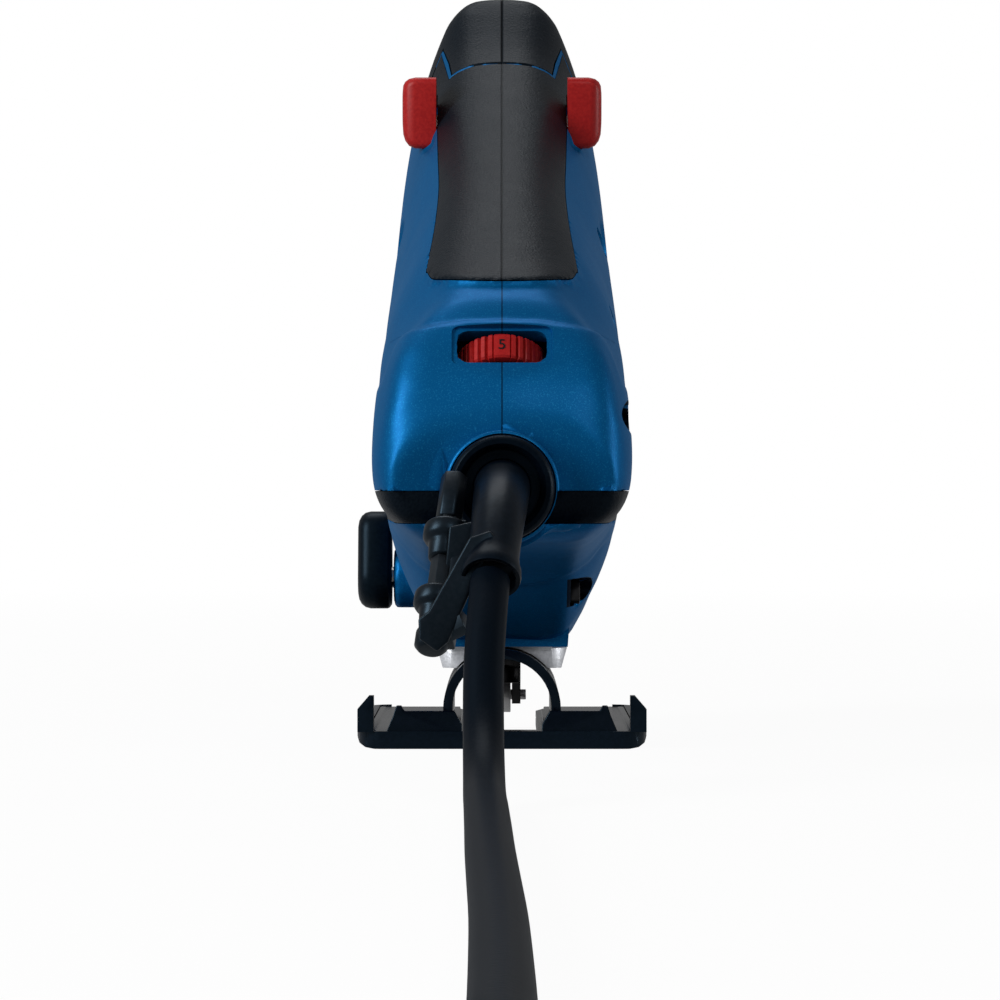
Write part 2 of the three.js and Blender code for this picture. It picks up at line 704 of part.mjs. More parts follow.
/** A ring of points round a rounded rectangle, four to a corner, across the X axis at x. */
function roundedRing(x, halfLength, halfHeight, radius) {
  const corners = [[1, 1], [-1, 1], [-1, -1], [1, -1]];
  return corners.flatMap(([u, v], corner) => [0, 1, 2, 3].map((i) => {
    const angle = (corner + i / 3) * Math.PI / 2;
    return new THREE.Vector3(
      x,
      u * (halfLength - radius) + radius * Math.cos(angle),
      v * (halfHeight - radius) + radius * Math.sin(angle),
    );
  }));
}

/** One thumb button: a rounded block that rides on the flank, with a stem through the slot. */
function switchButton(side) {
  const stations = [
    [gripHalfWidth + 1.6, 0, 3.4],
    [switchReach - 4, 0, 3.4],
    [switchReach - 1.6, 0.6, 3],
    [switchReach, 2.6, 2],
  ];
  const rings = stations.map(([x, inset, radius]) => (
    roundedRing(side * x, switchLength / 2 - inset, switchHeight / 2 - inset, radius)
  ));
  const proud = atSwitch(loft(rings)).subtract(atSwitchSwept());
  const ends = [11.5 * side, (switchReach - 3) * side].sort((one, other) => one - other);
  return proud.add(atSwitch(block(ends[0], ends[1], -7, 7, -4.7, 0.4)));
}

function atSwitchSwept() {
  const outset = bodyForm(-0.5, 10, 2);
  const step = switchTravel / 2;
  let swept = outset;
  for (let i = 1; i <= 2; i += 1) {
    swept = swept.add(outset.translate([0, -i * step * switchAlong.y, -i * step * switchAlong.z]));
  }
  return swept;
}

function mainSwitch() {
  const rear = fieldRear + fieldLength - 7 + seatGap;
  return block(-9, 9, rear, rear + 18, 132, 156);
}

// ---------------------------------------------------------------- orbital lever

function orbitalLever() {
  const shape = new THREE.Shape();
  shape.absarc(0, 0, 9, Math.PI * 0.95, Math.PI * 2.05);
  shape.quadraticCurveTo(7, 8, 5.5, 16.5);
  shape.quadraticCurveTo(0, 18.6, -5.5, 16.5);
  shape.quadraticCurveTo(-7, 8, -8.9, 1.4);
  const blade = prism('x', shape, -leverInner - leverThickness, -leverInner);
  const chamfer = prism('y', [
    [-leverInner - leverThickness - 1, -10], [-leverInner - leverThickness + 3.4, -10],
    [-leverInner - leverThickness, -3.5], [-leverInner - leverThickness - 1, -3.5],
  ], -20, 20);
  return blade.subtract(chamfer).subtract(round('x', clearing(3, 0.1, 16), -leverInner - 5, 0, [0, 0], 16));
}

function orbitalShaft() {
  const shaft = round('x', 3, -leverInner - 4.7, -8, [0, 0], 16);
  const flat = block(-14, -7, 1, 5, -5, 5);
  return shaft.subtract(flat);
}

// ---------------------------------------------------------------- gear housing casting

function gearHousing() {
  const rear = saddleRear + 10.6;
  const front = bodyFront - 18;
  const low = footUnderside - 5.8;
  const skirt = prism('y', [
    [-footHalfWidth + 2.2, low], [footHalfWidth - 2.2, low], [footHalfWidth - 0.6, footUnderside - seatGap],
    [-footHalfWidth + 0.6, footUnderside - seatGap],
  ], rear, front);
  const corners = prism('z', roundedOutline(-footHalfWidth, footHalfWidth, rear, front, 9), 0, 60);
  const neck = block(-neckHalfWidth, neckHalfWidth, rear, front - 3, footUnderside - 1, footTop);
  const bulkheadTop = gearHeight + 22;
  const spindle = round('y', 8, bulkheadY, bulkheadY + bulkheadThickness + 1.4, [0, gearHeight], 20);
  const rails = block(-22.4, -20.3, bulkheadY + 5, gearY - 2, 92, 134)
    .add(block(20.3, 22.4, bulkheadY + 5, gearY - 2, 92, 134));
  const tower = block(-7.5, 7.5, bladeY + 9, bladeY + 12.6, footUnderside, 172);
  const lowerBoss = round('z', 10, 65, 77, [0, bladeY], 20)
    .add(block(-6, 6, bladeY + 4, bladeY + 11, 65, 77));
  const upperBoss = round('z', 9.4, 158, 168, [0, bladeY], 20)
    .add(block(-6, 6, bladeY + 4, bladeY + 11, 158, 168));
  const bulkhead = block(-50, 50, bulkheadY, bulkheadY + bulkheadThickness, footTop - 3, bulkheadTop)
    .intersect(innerFit)
    .add(spindle)
    .add(rails);
  const lug = block(neckHalfWidth - 6, neckHalfWidth - 2, forkPivotY - 5.5, forkPivotY + 5.5,
    footTop - 1, forkPivotHeight + 5.5);
  const sumOf = skirt.intersect(corners).add(neck).add(bulkhead).add(tower).add(lowerBoss).add(upperBoss)
    .add(lug).add(lug.mirror([1, 0, 0]));
  const well = round('z', 9.8, 0, 64, [0, bladeY], 24)
    .add(block(-wellHalfWidth, wellHalfWidth, forkPivotY - 6.5, bladeY, 0, 64));
  const guideHole = clearing(rodRadius + 2.2, seatGap);
  const cuts = [
    round('y', saddleOuterRadius + seatGap + 0.1, 0, front + 10, [0, tiltHeight], 48),
    well,
    round('x', clearing(pivotPinRadius, seatGap, 12), -20, 20, [forkPivotY, forkPivotHeight], 12),
    round('z', guideHole, 60, 180, [0, bladeY]),
    round('y', clearing(bearingRadius, seatGap), bulkheadY - 1, bulkheadY + 20, [0, motorHeight]),
    round('y', clearing(4, seatGap, 16), bulkheadY - 1, bulkheadY + 20, [0, gearHeight], 16),
    round('z', clearing(clampScrewRadius, seatGap, 16), 0, footTop + 5, [0, clampY], 16),
  ];
  return cuts.reduce((solid, cut) => solid.subtract(cut), sumOf);
}

function bush(low, high) {
  return round('z', rodRadius + 2.2, low, high, [0, bladeY])
    .subtract(round('z', rodRadius + 0.15, low - 1, high + 1, [0, bladeY]));
}

// ---------------------------------------------------------------- motor

function motorField() {
  return round('y', fieldRadius, fieldRear, fieldRear + fieldLength, [0, motorHeight], 24)
    .subtract(block(-50, -fieldRadius + 2.4, -200, 200, 0, 200))
    .subtract(block(fieldRadius - 2.4, 50, -200, 200, 0, 200))
    .subtract(round('y', armatureRadius + 1, -200, 200, [0, motorHeight], 24));
}

function armatureCore() {
  return round('y', armatureRadius, fieldRear + 8, fieldRear + fieldLength - 8, [0, motorHeight], 24)
    .subtract(round('y', clearing(shaftRadius, seatGap, 16), -200, 200, [0, motorHeight], 16));
}

function armatureShaft() {
  return round('y', shaftRadius, fieldRear - 39, gearY - seatGap, [0, motorHeight], 16)
    .add(round('y', shaftNoseRadius, gearY - 1, gearY + gearWidth, [0, motorHeight], 12));
}

function onShaft(radius, from, to, sides = 20) {
  return round('y', radius, from, to, [0, motorHeight], sides)
    .subtract(round('y', clearing(shaftRadius, seatGap, 16), -200, 200, [0, motorHeight], 16));
}

function coolingFan() {
  const rear = fieldRear + fieldLength + 1.6;
  let fan = round('y', 20, rear, rear + 1.6, [0, motorHeight], 20)
    .add(round('y', 6.5, rear, rear + 7.6, [0, motorHeight], 12));
  const blades = 7;
  for (let i = 0; i < blades; i += 1) {
    const vane = block(8, 19.6, rear + 1, rear + 7.6, -0.8, 0.8);
    fan = fan.add(vane.rotate([0, 360 * i / blades, 0]).translate([0, 0, motorHeight]));
  }
  return fan.subtract(round('y', clearing(shaftRadius, seatGap, 16), -200, 200, [0, motorHeight], 16));
}

function ballBearing(rear) {
  return onShaft(bearingRadius, rear, rear + bearingWidth, 24)
    .subtract(round('y', 0.1 + shaftRadius + 0.6, rear - 1, rear + 0.8, [0, motorHeight], 16));
}

function brush(side) {
  const inner = 8.4 + runningGap;
  const outer = bodyHalfWidth - 7.5;
  const [x0, x1] = side < 0 ? [-outer, -inner] : [inner, outer];
  return block(x0, x1, fieldRear - 21, fieldRear - 14, motorHeight - 4, motorHeight + 4);
}

/** A spur wheel with straight-flanked teeth, centred on its own axis along Y. */
function spurWheel(teeth, width, phase) {
  const pitch = gearModule * teeth / 2;
  const tip = pitch + 0.8 * gearModule;
  const root = pitch - 1.05 * gearModule;
  const outline = [];
  for (let i = 0; i < teeth; i += 1) {
    const middle = 2 * Math.PI * (i + phase) / teeth;
    const step = 2 * Math.PI / teeth;
    for (const [radius, offset] of [[root, -0.29], [tip, -0.11], [tip, 0.11], [root, 0.29]]) {
      outline.push([radius * Math.sin(middle + offset * step), radius * Math.cos(middle + offset * step)]);
    }
  }
  return prism('y', outline.reverse(), -width / 2, width / 2);
}

function driveGear() {
  const bore = round('y', clearing(4, 0.05, 16), -20, 20, [0, 0], 16);
  const pin = round('y', 2.5, gearWidth / 2 - 1, gearWidth / 2 + 7.4, [0, -stroke / 2], 12);
  return spurWheel(gearTeeth, gearWidth, 0.5).subtract(bore).add(pin);
}

function eccentricBush() {
  return round('y', 4.3, gearWidth / 2 + seatGap, gearWidth / 2 + 7, [0, -stroke / 2], 16)
    .subtract(round('y', clearing(2.5, 0.1, 12), 0, 20, [0, -stroke / 2], 12));
}

// ---------------------------------------------------------------- plunger, counterweight and blade clamp

const yokeRear = gearY + gearWidth + 8;

function plungerYoke() {
  const middle = gearHeight - stroke / 2;
  const plate = prism('y', roundedOutline(-20.5, 20.5, middle - 9, middle + 9, 8), yokeRear, yokeRear + 6);
  const outline = roundedOutline(-18, 18, middle - 4.8, middle + 4.8, 4.7);
  const slot = prism('y', outline, yokeRear - 1, yokeRear + 4.2);
  const neck = block(-6, 6, yokeRear + 4, bladeY, middle - 8, middle + 8);
  const hub = round('z', rodRadius + 2.6, middle - 8, middle + 8, [0, bladeY], 20);
  return plate.subtract(slot).add(neck).add(hub)
    .subtract(round('z', clearing(rodRadius, seatGap), 0, 200, [0, bladeY]));
}

function counterweight() {
  const slot = prism('y', roundedOutline(-5, 5, gearHeight - 5, gearHeight + 18.5, 4.6), -200, 200);
  return block(-20, 20, bulkheadY + bulkheadThickness + 1.8, gearY - 1, gearHeight - 6.5, gearHeight + 35)
    .subtract(round('y', 9.2, -200, bulkheadY + bulkheadThickness + 1.8, [0, gearHeight], 20))
    .subtract(slot);
}

function clampCore() {
  const core = round('z', 4.6, clampBottom, rodBottom - seatGap, [0, bladeY], 20);
  const slit = block(-0.9, 0.9, bladeY - 4.2, bladeY + 4.2, clampBottom - 1, clampBottom + 11);
  return core.subtract(slit);
}

function clampSleeve() {
  const low = clampBottom + 1.4;
  const sleeve = round('z', 6.3, low, low + 7, [0, bladeY], 24)
    .add(round('z', 7.8, low + 4, low + 13, [0, bladeY], 24));
  return sleeve.subtract(round('z', clearing(4.6, runningGap), 0, 60, [0, bladeY]));
}

function rollerFork() {
  const side = [
    [forkPivotY - 3.6, forkPivotHeight + 3.4], [forkPivotY + 3.4, forkPivotHeight + 3.4],
    [forkPivotY + 5.6, 24], [rollerY + 1.4, rollerHeight + 3], [rollerY + 2.4, rollerHeight - 1.6],
    [rollerY - 2.4, rollerHeight - 2.6], [forkPivotY - 1, 22],
  ];
  const cheeks = prism('x', side, -5.4, 5.4);
  const slotRear = rollerY - rollerRadius - 3;
  const slot = block(-2.9, 2.9, slotRear, rollerY + 20, 0, rollerHeight + rollerRadius + 1);
  const hubHalfWidth = wellHalfWidth - seatGap;
  return cheeks.subtract(slot)
    .add(round('x', 3.5, -hubHalfWidth, hubHalfWidth, [forkPivotY, forkPivotHeight], 16))
    .subtract(round('x', clearing(1.5, seatGap, 12), -20, 20, [rollerY, rollerHeight], 12))
    .subtract(round('x', clearing(pivotPinRadius, 0.1, 12), -20, 20, [forkPivotY, forkPivotHeight], 12));
}

// ---------------------------------------------------------------- sole

const saddleInnerRadius = saddleOuterRadius - saddleSheet;
const plateTop = shoeFloor + seatGap + plateThickness;

/** The slot for the blade, open and a little wider at the front of the base. */
function bladeWindow() {
  const front = baseRear + baseLength;
  return prism('z', [
    [-windowHalfWidth, saddleRear + 10], [windowHalfWidth, saddleRear + 10], [windowHalfWidth, front - 24],
    [windowMouth, front - 12], [windowMouth, front + 1],
    [-windowMouth, front + 1], [-windowMouth, front - 12],
    [-windowHalfWidth, front - 24],
  ], -1, 12);
}

function slideShoe() {
  const front = baseRear + baseLength;
  const half = baseWidth / 2;
  const shape = new THREE.Shape();
  shape.moveTo(-half, shoeWallHeight);
  shape.lineTo(-half, 3.2);
  shape.bezierCurveTo(-half, 1.2, -half + 2, 0, -half + 4.8, 0);
  shape.lineTo(half - 4.8, 0);
  shape.bezierCurveTo(half - 2, 0, half, 1.2, half, 3.2);
  shape.lineTo(half, shoeWallHeight);
  shape.lineTo(-half, shoeWallHeight);
  const tray = prism('y', shape, baseRear, front)
    .intersect(prism('z', roundedOutline(-half, half, baseRear, front, 7), -1, 30));
  const inside = block(-half + 2.6, half - 2.6, baseRear + 1.6, front - 2.4, shoeFloor, 30);
  const post = (side) => prism('x', [
    [baseRear, plateTop + seatGap], [baseRear + 7, plateTop + seatGap],
    [baseRear + 5, clipPostHeight], [baseRear, clipPostHeight],
  ], side < 0 ? -half + 0.2 : half - 4.6, side < 0 ? -half + 4.6 : half - 0.2);
  const cornerCut = (side) => prism('y', [
    [side * (half - 3.4), clipPostHeight + 0.1], [side * (half + 1), clipPostHeight + 0.1],
    [side * (half + 1), clipPostHeight - 5],
  ], baseRear - 1, baseRear + 8);
  const frontEdge = block(-half + 6, half - 6, front - 3, front + 1, shoeWallHeight - 1.4, 30);
  return tray.subtract(inside)
    .subtract(frontEdge)
    .add(post(-1)).add(post(1))
    .subtract(cornerCut(1)).subtract(cornerCut(1).mirror([1, 0, 0]))
    .subtract(bladeWindow());
}

function basePlate() {
  const front = baseRear + baseLength;
  const half = baseWidth / 2 - 2.9;
  const floor = shoeFloor + seatGap;
  const sheet = prism('z', roundedOutline(-half, half, baseRear + 1.9, front - 2.7, 4), floor, plateTop);
  const lip = [
    [10.9, floor + 1], [32, floor + 1], [29.6, lipHeight - 1.2],
    [28.8, lipHeight + 1.4], [27.4, lipHeight + 1.4],
    [26.6, lipHeight], [13, lipHeight], [10.9, 6.6],
  ];
  const rear = baseRear + 1.9;
  const lips = prism('y', lip, rear, rear + 3.4);
  const sideRail = prism('y', [
    [half - 3, floor + 1], [half, floor + 1], [half, shoeWallHeight], [half - 1.6, shoeWallHeight],
  ], baseRear + 10, front - 12);
  return sheet.subtract(bladeWindow())
    .add(lips).add(lips.mirror([1, 0, 0]))
    .add(sideRail).add(sideRail.mirror([1, 0, 0]));
}

function baseSaddle() {
  const low = plateTop + seatGap;
  const foot = low + 2.2;
  const ring = round('y', saddleOuterRadius, saddleRear, saddleRear + saddleLength, [0, tiltHeight], 48)
    .subtract(round('y', saddleInnerRadius, 0, 200, [0, tiltHeight], 48))
    .subtract(block(-30, 30, 0, 200, -30, tiltHeight));
  const front = saddleRear + saddleLength;
  const leg = block(saddleInnerRadius, saddleOuterRadius, saddleRear, front, low, tiltHeight + 0.1);
  const flange = block(saddleInnerRadius - 2.2, saddleOuterRadius, saddleRear, front, low, foot);
  const screwHalfAngle = Math.asin((clampScrewRadius + seatGap) / saddleInnerRadius);
  const slotReach = THREE.MathUtils.degToRad(tiltRange) + screwHalfAngle;
  const slotLow = tiltHeight + saddleInnerRadius * Math.cos(slotReach) - seatGap;
  const slot = block(-30, 30, clampY - clampScrewRadius - 0.6, clampY + clampScrewRadius + 0.6, slotLow, 60);
  const pair = leg.add(flange);
  return ring.add(pair).add(pair.mirror([1, 0, 0])).subtract(slot);
}

function clampWasher() {
  const outer = saddleInnerRadius - seatGap;
  const wedge = prism('y', [[0, tiltHeight], [9, 40], [-9, 40]], clampY - 8, clampY + 8);
  return round('y', outer, clampY - 7, clampY + 7, [0, tiltHeight], 48)
    .subtract(round('y', outer - 2.4, 0, 200, [0, tiltHeight], 48))
    .intersect(wedge)
    .subtract(round('z', clearing(clampScrewRadius, seatGap, 16), 0, 60, [0, clampY], 16));
}

function clampScrew() {
  const seat = tiltHeight + saddleInnerRadius - 2 * seatGap - 2.9;
  const head = round('z', clampHeadRadius, seat - 4.4, seat, [0, clampY], 20);
  const socket = round('z', 2.9, seat - 6, seat - 1.6, [0, clampY], 6);
  return head.add(round('z', clampScrewRadius, seat - 1, footTop + 1.5, [0, clampY], 16)).subtract(socket);
}

// ---------------------------------------------------------------- cord, coil and plug

const cordRadius = cordDiameter / 2;
const restHeight = cordRadius + 0.35;
const mouth = sleevePath.getPointAt(1);
const mouthHeading = sleevePath.getTangentAt(1);

// The ring of turns: the outermost turn's centre line, and the ring's own outer and inner radii.
const coilSpread = (coilTurnsAcross - 1) / 2 * cordDiameter;
const outerTurnRadius = coilMeanRadius + coilSpread;
const coilOuterRadius = outerTurnRadius + cordRadius + 0.2;
const coilInnerRadius = coilMeanRadius - coilSpread - cordRadius - 0.2;
const coilHeight = coilLayers * cordDiameter + 0.2;
const coilEntry = Math.sqrt(coilOuterRadius ** 2 - (outerTurnRadius - cordRadius) ** 2) + seatGap;

// Chosen route from the boot's mouth down to the resting surface, away behind the tool and into the coil.
const cordRoute = [
  mouth.clone().addScaledVector(mouthHeading, seatGap),
  mouth.clone().addScaledVector(mouthHeading, 14),
  new THREE.Vector3(-4.2, -159, 23.5),
  new THREE.Vector3(-4.2, -172, 12.8),
  new THREE.Vector3(-4, -188, 6.7),
  new THREE.Vector3(-3.8, -208, restHeight),
  new THREE.Vector3(-3.4, -240, restHeight),
  new THREE.Vector3(-2.8, -290, restHeight),
  new THREE.Vector3(-2.2, -345, restHeight),
  new THREE.Vector3(-1.4, -400, restHeight),
  new THREE.Vector3(-0.4, -455, restHeight),
  new THREE.Vector3(1.4, -510, restHeight),
  new THREE.Vector3(6.5, -552, restHeight),
  new THREE.Vector3(17.5, -590, restHeight),
  new THREE.Vector3(32, -624, restHeight),
  new THREE.Vector3(46, -656, restHeight),
  new THREE.Vector3(53.8, -683, restHeight),
  new THREE.Vector3(outerTurnRadius, coilY + coilEntry, restHeight),
];

function powerCord() {
  const circle = new THREE.Shape();
  circle.absarc(0, 0, cordRadius, 0, 2 * Math.PI);
  const section = new THREE.Shape(circle.getPoints(4).slice(0, -1));
  return toSolid(new THREE.ExtrudeGeometry(section, {
    steps: 34,
    bevelEnabled: false,
    extrudePath: new THREE.CatmullRomCurve3(cordRoute, false, 'centripetal'),
  }));
}

function cordCoil() {
  const corners = [
    [coilInnerRadius, 0], [coilOuterRadius, 0], [coilOuterRadius, coilHeight], [coilInnerRadius, coilHeight],
    [coilInnerRadius, 0],
  ];
  const ring = new THREE.LatheGeometry(corners.map(([r, z]) => new THREE.Vector2(r, z)), 28);
  return toSolid(ring.rotateX(Math.PI / 2));
}

const plugSleeveRadius = 6.5;
const plugPinLength = 19;

/** A two-pin plug on its flat side, its cord sleeve at the origin and its pins along -X. */
function mainsPlug() {
  const outline = [
    [0, 0], [plugSleeveRadius, 0], [8.5, 6], [9.5, 16], [18, 22], [18.5, 36], [17.5, 38], [0, 38],
  ];
  const body = new THREE.LatheGeometry(outline.map(([r, y]) => new THREE.Vector2(r, y)), 20);
  body.scale(1, 1, plugHalfThickness / 18.5);
  body.rotateZ(Math.PI / 2);
  const pin = (y) => round('x', 2.4, -37 - plugPinLength, -37, [y, 0], 12);
  return toSolid(body).add(pin(-9.5)).add(pin(9.5));
}

// ---------------------------------------------------------------- assembly

const tool = new THREE.Group();

/** Adds a piece, moved by an offset in its group. */
function place(mesh, x = 0, y = 0, z = 0) {
  mesh.position.set(x, y, z);
  tool.add(mesh);
  return mesh;
}

const [leftShell, rightShell] = housingShells();
place(piece('left_housing_shell', leftShell, 'blue'));
place(piece('right_housing_shell', rightShell, 'blue'));
coveredHalves(gripRegion(seatGap), ['left_softgrip', 'right_softgrip'], 'rubber').forEach((m) => place(m));
coveredHalves(noseRegion(seatGap), ['left_nose_cap', 'right_nose_cap'], 'rubber').forEach((m) => place(m));
bumperBand().forEach((m) => place(m));

place(piece('cord_gland_ring', glandRing(), 'black'));
place(piece('strain_relief_sleeve', strainRelief(), 'rubber'));
place(piece('key_clip', keyClip(), 'black'));
place(piece('hex_key', hexKey(), 'darkSteel'));

const dialGroup = new THREE.Group();
dialGroup.matrixAutoUpdate = false;
dialGroup.matrix.makeBasis(new THREE.Vector3(-1, 0, 0), dialOut, dialUp).setPosition(0, dialY, dialHeight);
dialGroup.add(piece('speed_dial', speedDial(), 'red'));
dialGroup.add(piece('dial_spindle', round('z', 1.5, -7, 7, [0, 0], 12), 'steel'));
tool.add(dialGroup);
place(piece('speed_control_module', controlModule(), 'black'));

place(piece('left_switch_button', switchButton(-1), 'red'));
place(piece('right_switch_button', switchButton(1), 'red'));
place(piece('switch_slide_bar', atSwitch(block(-11.2, 11.2, -5, 5, -4.5, 0.2)), 'black'));
place(piece('main_switch', mainSwitch(), 'black'));

place(piece('orbital_lever', orbitalLever(), 'black'), 0, leverY, leverHeight);
place(piece('orbital_cam_shaft', orbitalShaft(), 'steel'), 0, leverY, leverHeight);

place(piece('gear_housing', gearHousing(), 'casting'));
place(piece('motor_field', motorField(), 'iron'));
place(piece('armature_core', armatureCore(), 'copper'));
place(piece('armature_shaft', armatureShaft(), 'steel'));
place(piece('commutator', onShaft(8.4, fieldRear - 24, fieldRear - 9), 'copper'));
place(piece('cooling_fan', coolingFan(), 'white'));
place(piece('front_ball_bearing', ballBearing(bulkheadY - 0.5), 'steel'));
place(piece('rear_ball_bearing', ballBearing(fieldRear - 38), 'steel'));
place(piece('left_carbon_brush', brush(-1), 'iron'));
place(piece('right_carbon_brush', brush(1), 'iron'));

const pinionSolid = spurWheel(pinionTeeth, gearWidth, 0)
  .subtract(round('y', clearing(shaftNoseRadius, 0.1, 12), -20, 20, [0, 0], 12));
place(piece('motor_pinion', pinionSolid, 'steel'), 0, gearY + gearWidth / 2, motorHeight);
place(piece('drive_gear', driveGear(), 'steel'), 0, gearY + gearWidth / 2, gearHeight);
place(piece('eccentric_bush', eccentricBush(), 'bronze'), 0, gearY + gearWidth / 2, gearHeight);
place(piece('gear_axle', round('y', 4, bulkheadY, gearY + gearWidth, [0, gearHeight], 16), 'steel'));

place(piece('plunger_rod', round('z', rodRadius, rodBottom, rodBottom + rodLength, [0, bladeY]), 'steel'));
place(piece('plunger_yoke', plungerYoke(), 'steel'));
place(piece('lower_guide_bush', bush(65, 77), 'bronze'));
place(piece('upper_guide_bush', bush(158, 168), 'bronze'));
place(piece('counterweight', counterweight(), 'iron'));
place(piece('blade_clamp_core', clampCore(), 'steel'));
place(piece('blade_clamp_sleeve', clampSleeve(), 'black'));
place(piece('roller_fork', rollerFork(), 'darkSteel'));
place(piece('fork_pivot_pin', round('x', pivotPinRadius, 2 - neckHalfWidth, neckHalfWidth - 2,
  [forkPivotY, forkPivotHeight], 12), 'steel'));
place(piece('guide_roller', round('x', rollerRadius, -2.5, 2.5, [0, 0], 24)
  .subtract(round('x', clearing(1.5, 0.1, 12), -5, 5, [0, 0], 12)), 'darkSteel'), 0, rollerY, rollerHeight);
place(piece('roller_pin', round('x', 1.5, -7, 7, [rollerY, rollerHeight], 12), 'steel'));

place(piece('base_saddle', baseSaddle(), 'darkSteel'));
place(piece('base_plate', basePlate(), 'darkSteel'));
place(piece('slide_shoe', slideShoe(), 'black'));
place(piece('saddle_clamp_washer', clampWasher(), 'steel'));
place(piece('saddle_clamp_screw', clampScrew(), 'darkSteel'));

for (const { name, y, z, half } of screwPlaces) {
  const head = round('x', screwHeadRadius, half + seatGap, half + 3.1, [0, 0], 16);
  const shank = round('x', screwRadius, -screwTip, half + 1, [0, 0], 10);
  place(piece(name, head.add(shank), 'darkSteel'), 0, y, z);
}

place(piece('power_cord', powerCord(), 'rubber'));
place(piece('cord_coil', cordCoil(), 'rubber'), 0, coilY, restHeight - cordRadius);

// The cord leaves the outermost turn on a tangent, and the plug's sleeve starts where it clears the ring.
const plugAngle = THREE.MathUtils.degToRad(plugTurn);
const plugStart = Math.sqrt((coilOuterRadius + seatGap) ** 2 - (outerTurnRadius - plugSleeveRadius) ** 2);
const plug = place(
  piece('mains_plug', mainsPlug(), 'rubber'),
  outerTurnRadius * Math.cos(plugAngle) - plugStart * Math.sin(plugAngle),
  coilY - outerTurnRadius * Math.sin(plugAngle) - plugStart * Math.cos(plugAngle),
  plugHalfThickness + 0.3,
);
plug.rotation.z = Math.PI / 2 - plugAngle;

export default tool;
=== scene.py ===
import math

import bpy
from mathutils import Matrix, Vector
from mathutils.bvhtree import BVHTree


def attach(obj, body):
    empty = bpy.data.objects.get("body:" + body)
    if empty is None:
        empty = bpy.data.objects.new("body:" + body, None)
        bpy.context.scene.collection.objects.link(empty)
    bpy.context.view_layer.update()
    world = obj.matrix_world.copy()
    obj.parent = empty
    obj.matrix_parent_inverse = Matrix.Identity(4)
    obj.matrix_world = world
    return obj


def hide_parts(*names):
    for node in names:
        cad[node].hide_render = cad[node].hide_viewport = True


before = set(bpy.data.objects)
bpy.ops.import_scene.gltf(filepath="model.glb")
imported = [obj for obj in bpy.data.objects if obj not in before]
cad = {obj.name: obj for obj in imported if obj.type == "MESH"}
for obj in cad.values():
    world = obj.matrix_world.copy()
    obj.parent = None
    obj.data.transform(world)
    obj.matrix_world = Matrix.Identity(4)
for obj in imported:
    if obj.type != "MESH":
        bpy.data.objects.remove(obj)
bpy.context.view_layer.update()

# ---------------------------------------------------------------- studio and camera

# The tool stands on its own sole on a white sweep, seen level from straight behind with a long lens.
# Soft key light from the left, a dimmer one from the right, and the white room fills in the rest.


def material(name):
    """An empty material with its output and its Principled shader."""
    mat = bpy.data.materials.new(name)
    mat.use_nodes = True
    tree = mat.node_tree
    tree.nodes.clear()
    out = tree.nodes.new("ShaderNodeOutputMaterial")
    skin = tree.nodes.new("ShaderNodeBsdfPrincipled")
    tree.links.new(skin.outputs["BSDF"], out.inputs["Surface"])
    return mat, tree, skin


def camera_view():
    data = bpy.data.cameras.new("rear_view")
    cam = bpy.data.objects.new("rear_view", data)
    bpy.context.scene.collection.objects.link(cam)
    cam.location = (0, -1.088, 0.0734)
    cam.rotation_euler = (math.pi / 2 - math.radians(0.3), 0, 0)
    data.sensor_width = 36
    data.lens = 36 * 4051 / 1000
    data.shift_x = -0.002
    data.clip_start = 0.05
    data.clip_end = 30
    bpy.context.scene.camera = cam


def softbox(name, place, aim, size, power, colour=(1, 1, 1)):
    data = bpy.data.lights.new(name, "AREA")
    data.shape = "RECTANGLE"
    data.size, data.size_y = size
    data.energy = power
    data.color = colour
    lamp = bpy.data.objects.new(name, data)
    bpy.context.scene.collection.objects.link(lamp)
    lamp.location = place
    lamp.rotation_euler = (Vector(aim) - Vector(place)).to_track_quat("-Z", "Y").to_euler()


def reckoned(tree, kind, *values):
    """One sum on numbers and sockets."""
    node = tree.nodes.new("ShaderNodeMath")
    node.operation = kind
    for socket, value in zip(node.inputs, values):
        if isinstance(value, (int, float)):
            socket.default_value = value
        else:
            tree.links.new(value, socket)
    return node.outputs[0]


def spread(tree, value, low, high, to_low, to_high):
    """Takes the span from low to high over to another one, and stops at its ends."""
    node = tree.nodes.new("ShaderNodeMapRange")
    for name, level in (("From Min", low), ("From Max", high), ("To Min", to_low), ("To Max", to_high)):
        node.inputs[name].default_value = level
    tree.links.new(value, node.inputs["Value"])
    return node.outputs["Result"]


def seen_rays(tree):
    """1 where the camera looks straight, a share of it in shiny and clear pieces, 0 for bounced light."""
    path = tree.nodes.new("ShaderNodeLightPath")
    mirrored = reckoned(tree, "MAXIMUM", path.outputs["Is Glossy Ray"], path.outputs["Is Transmission Ray"])
    return reckoned(tree, "MULTIPLY_ADD", mirrored, 0.25, path.outputs["Is Camera Ray"])


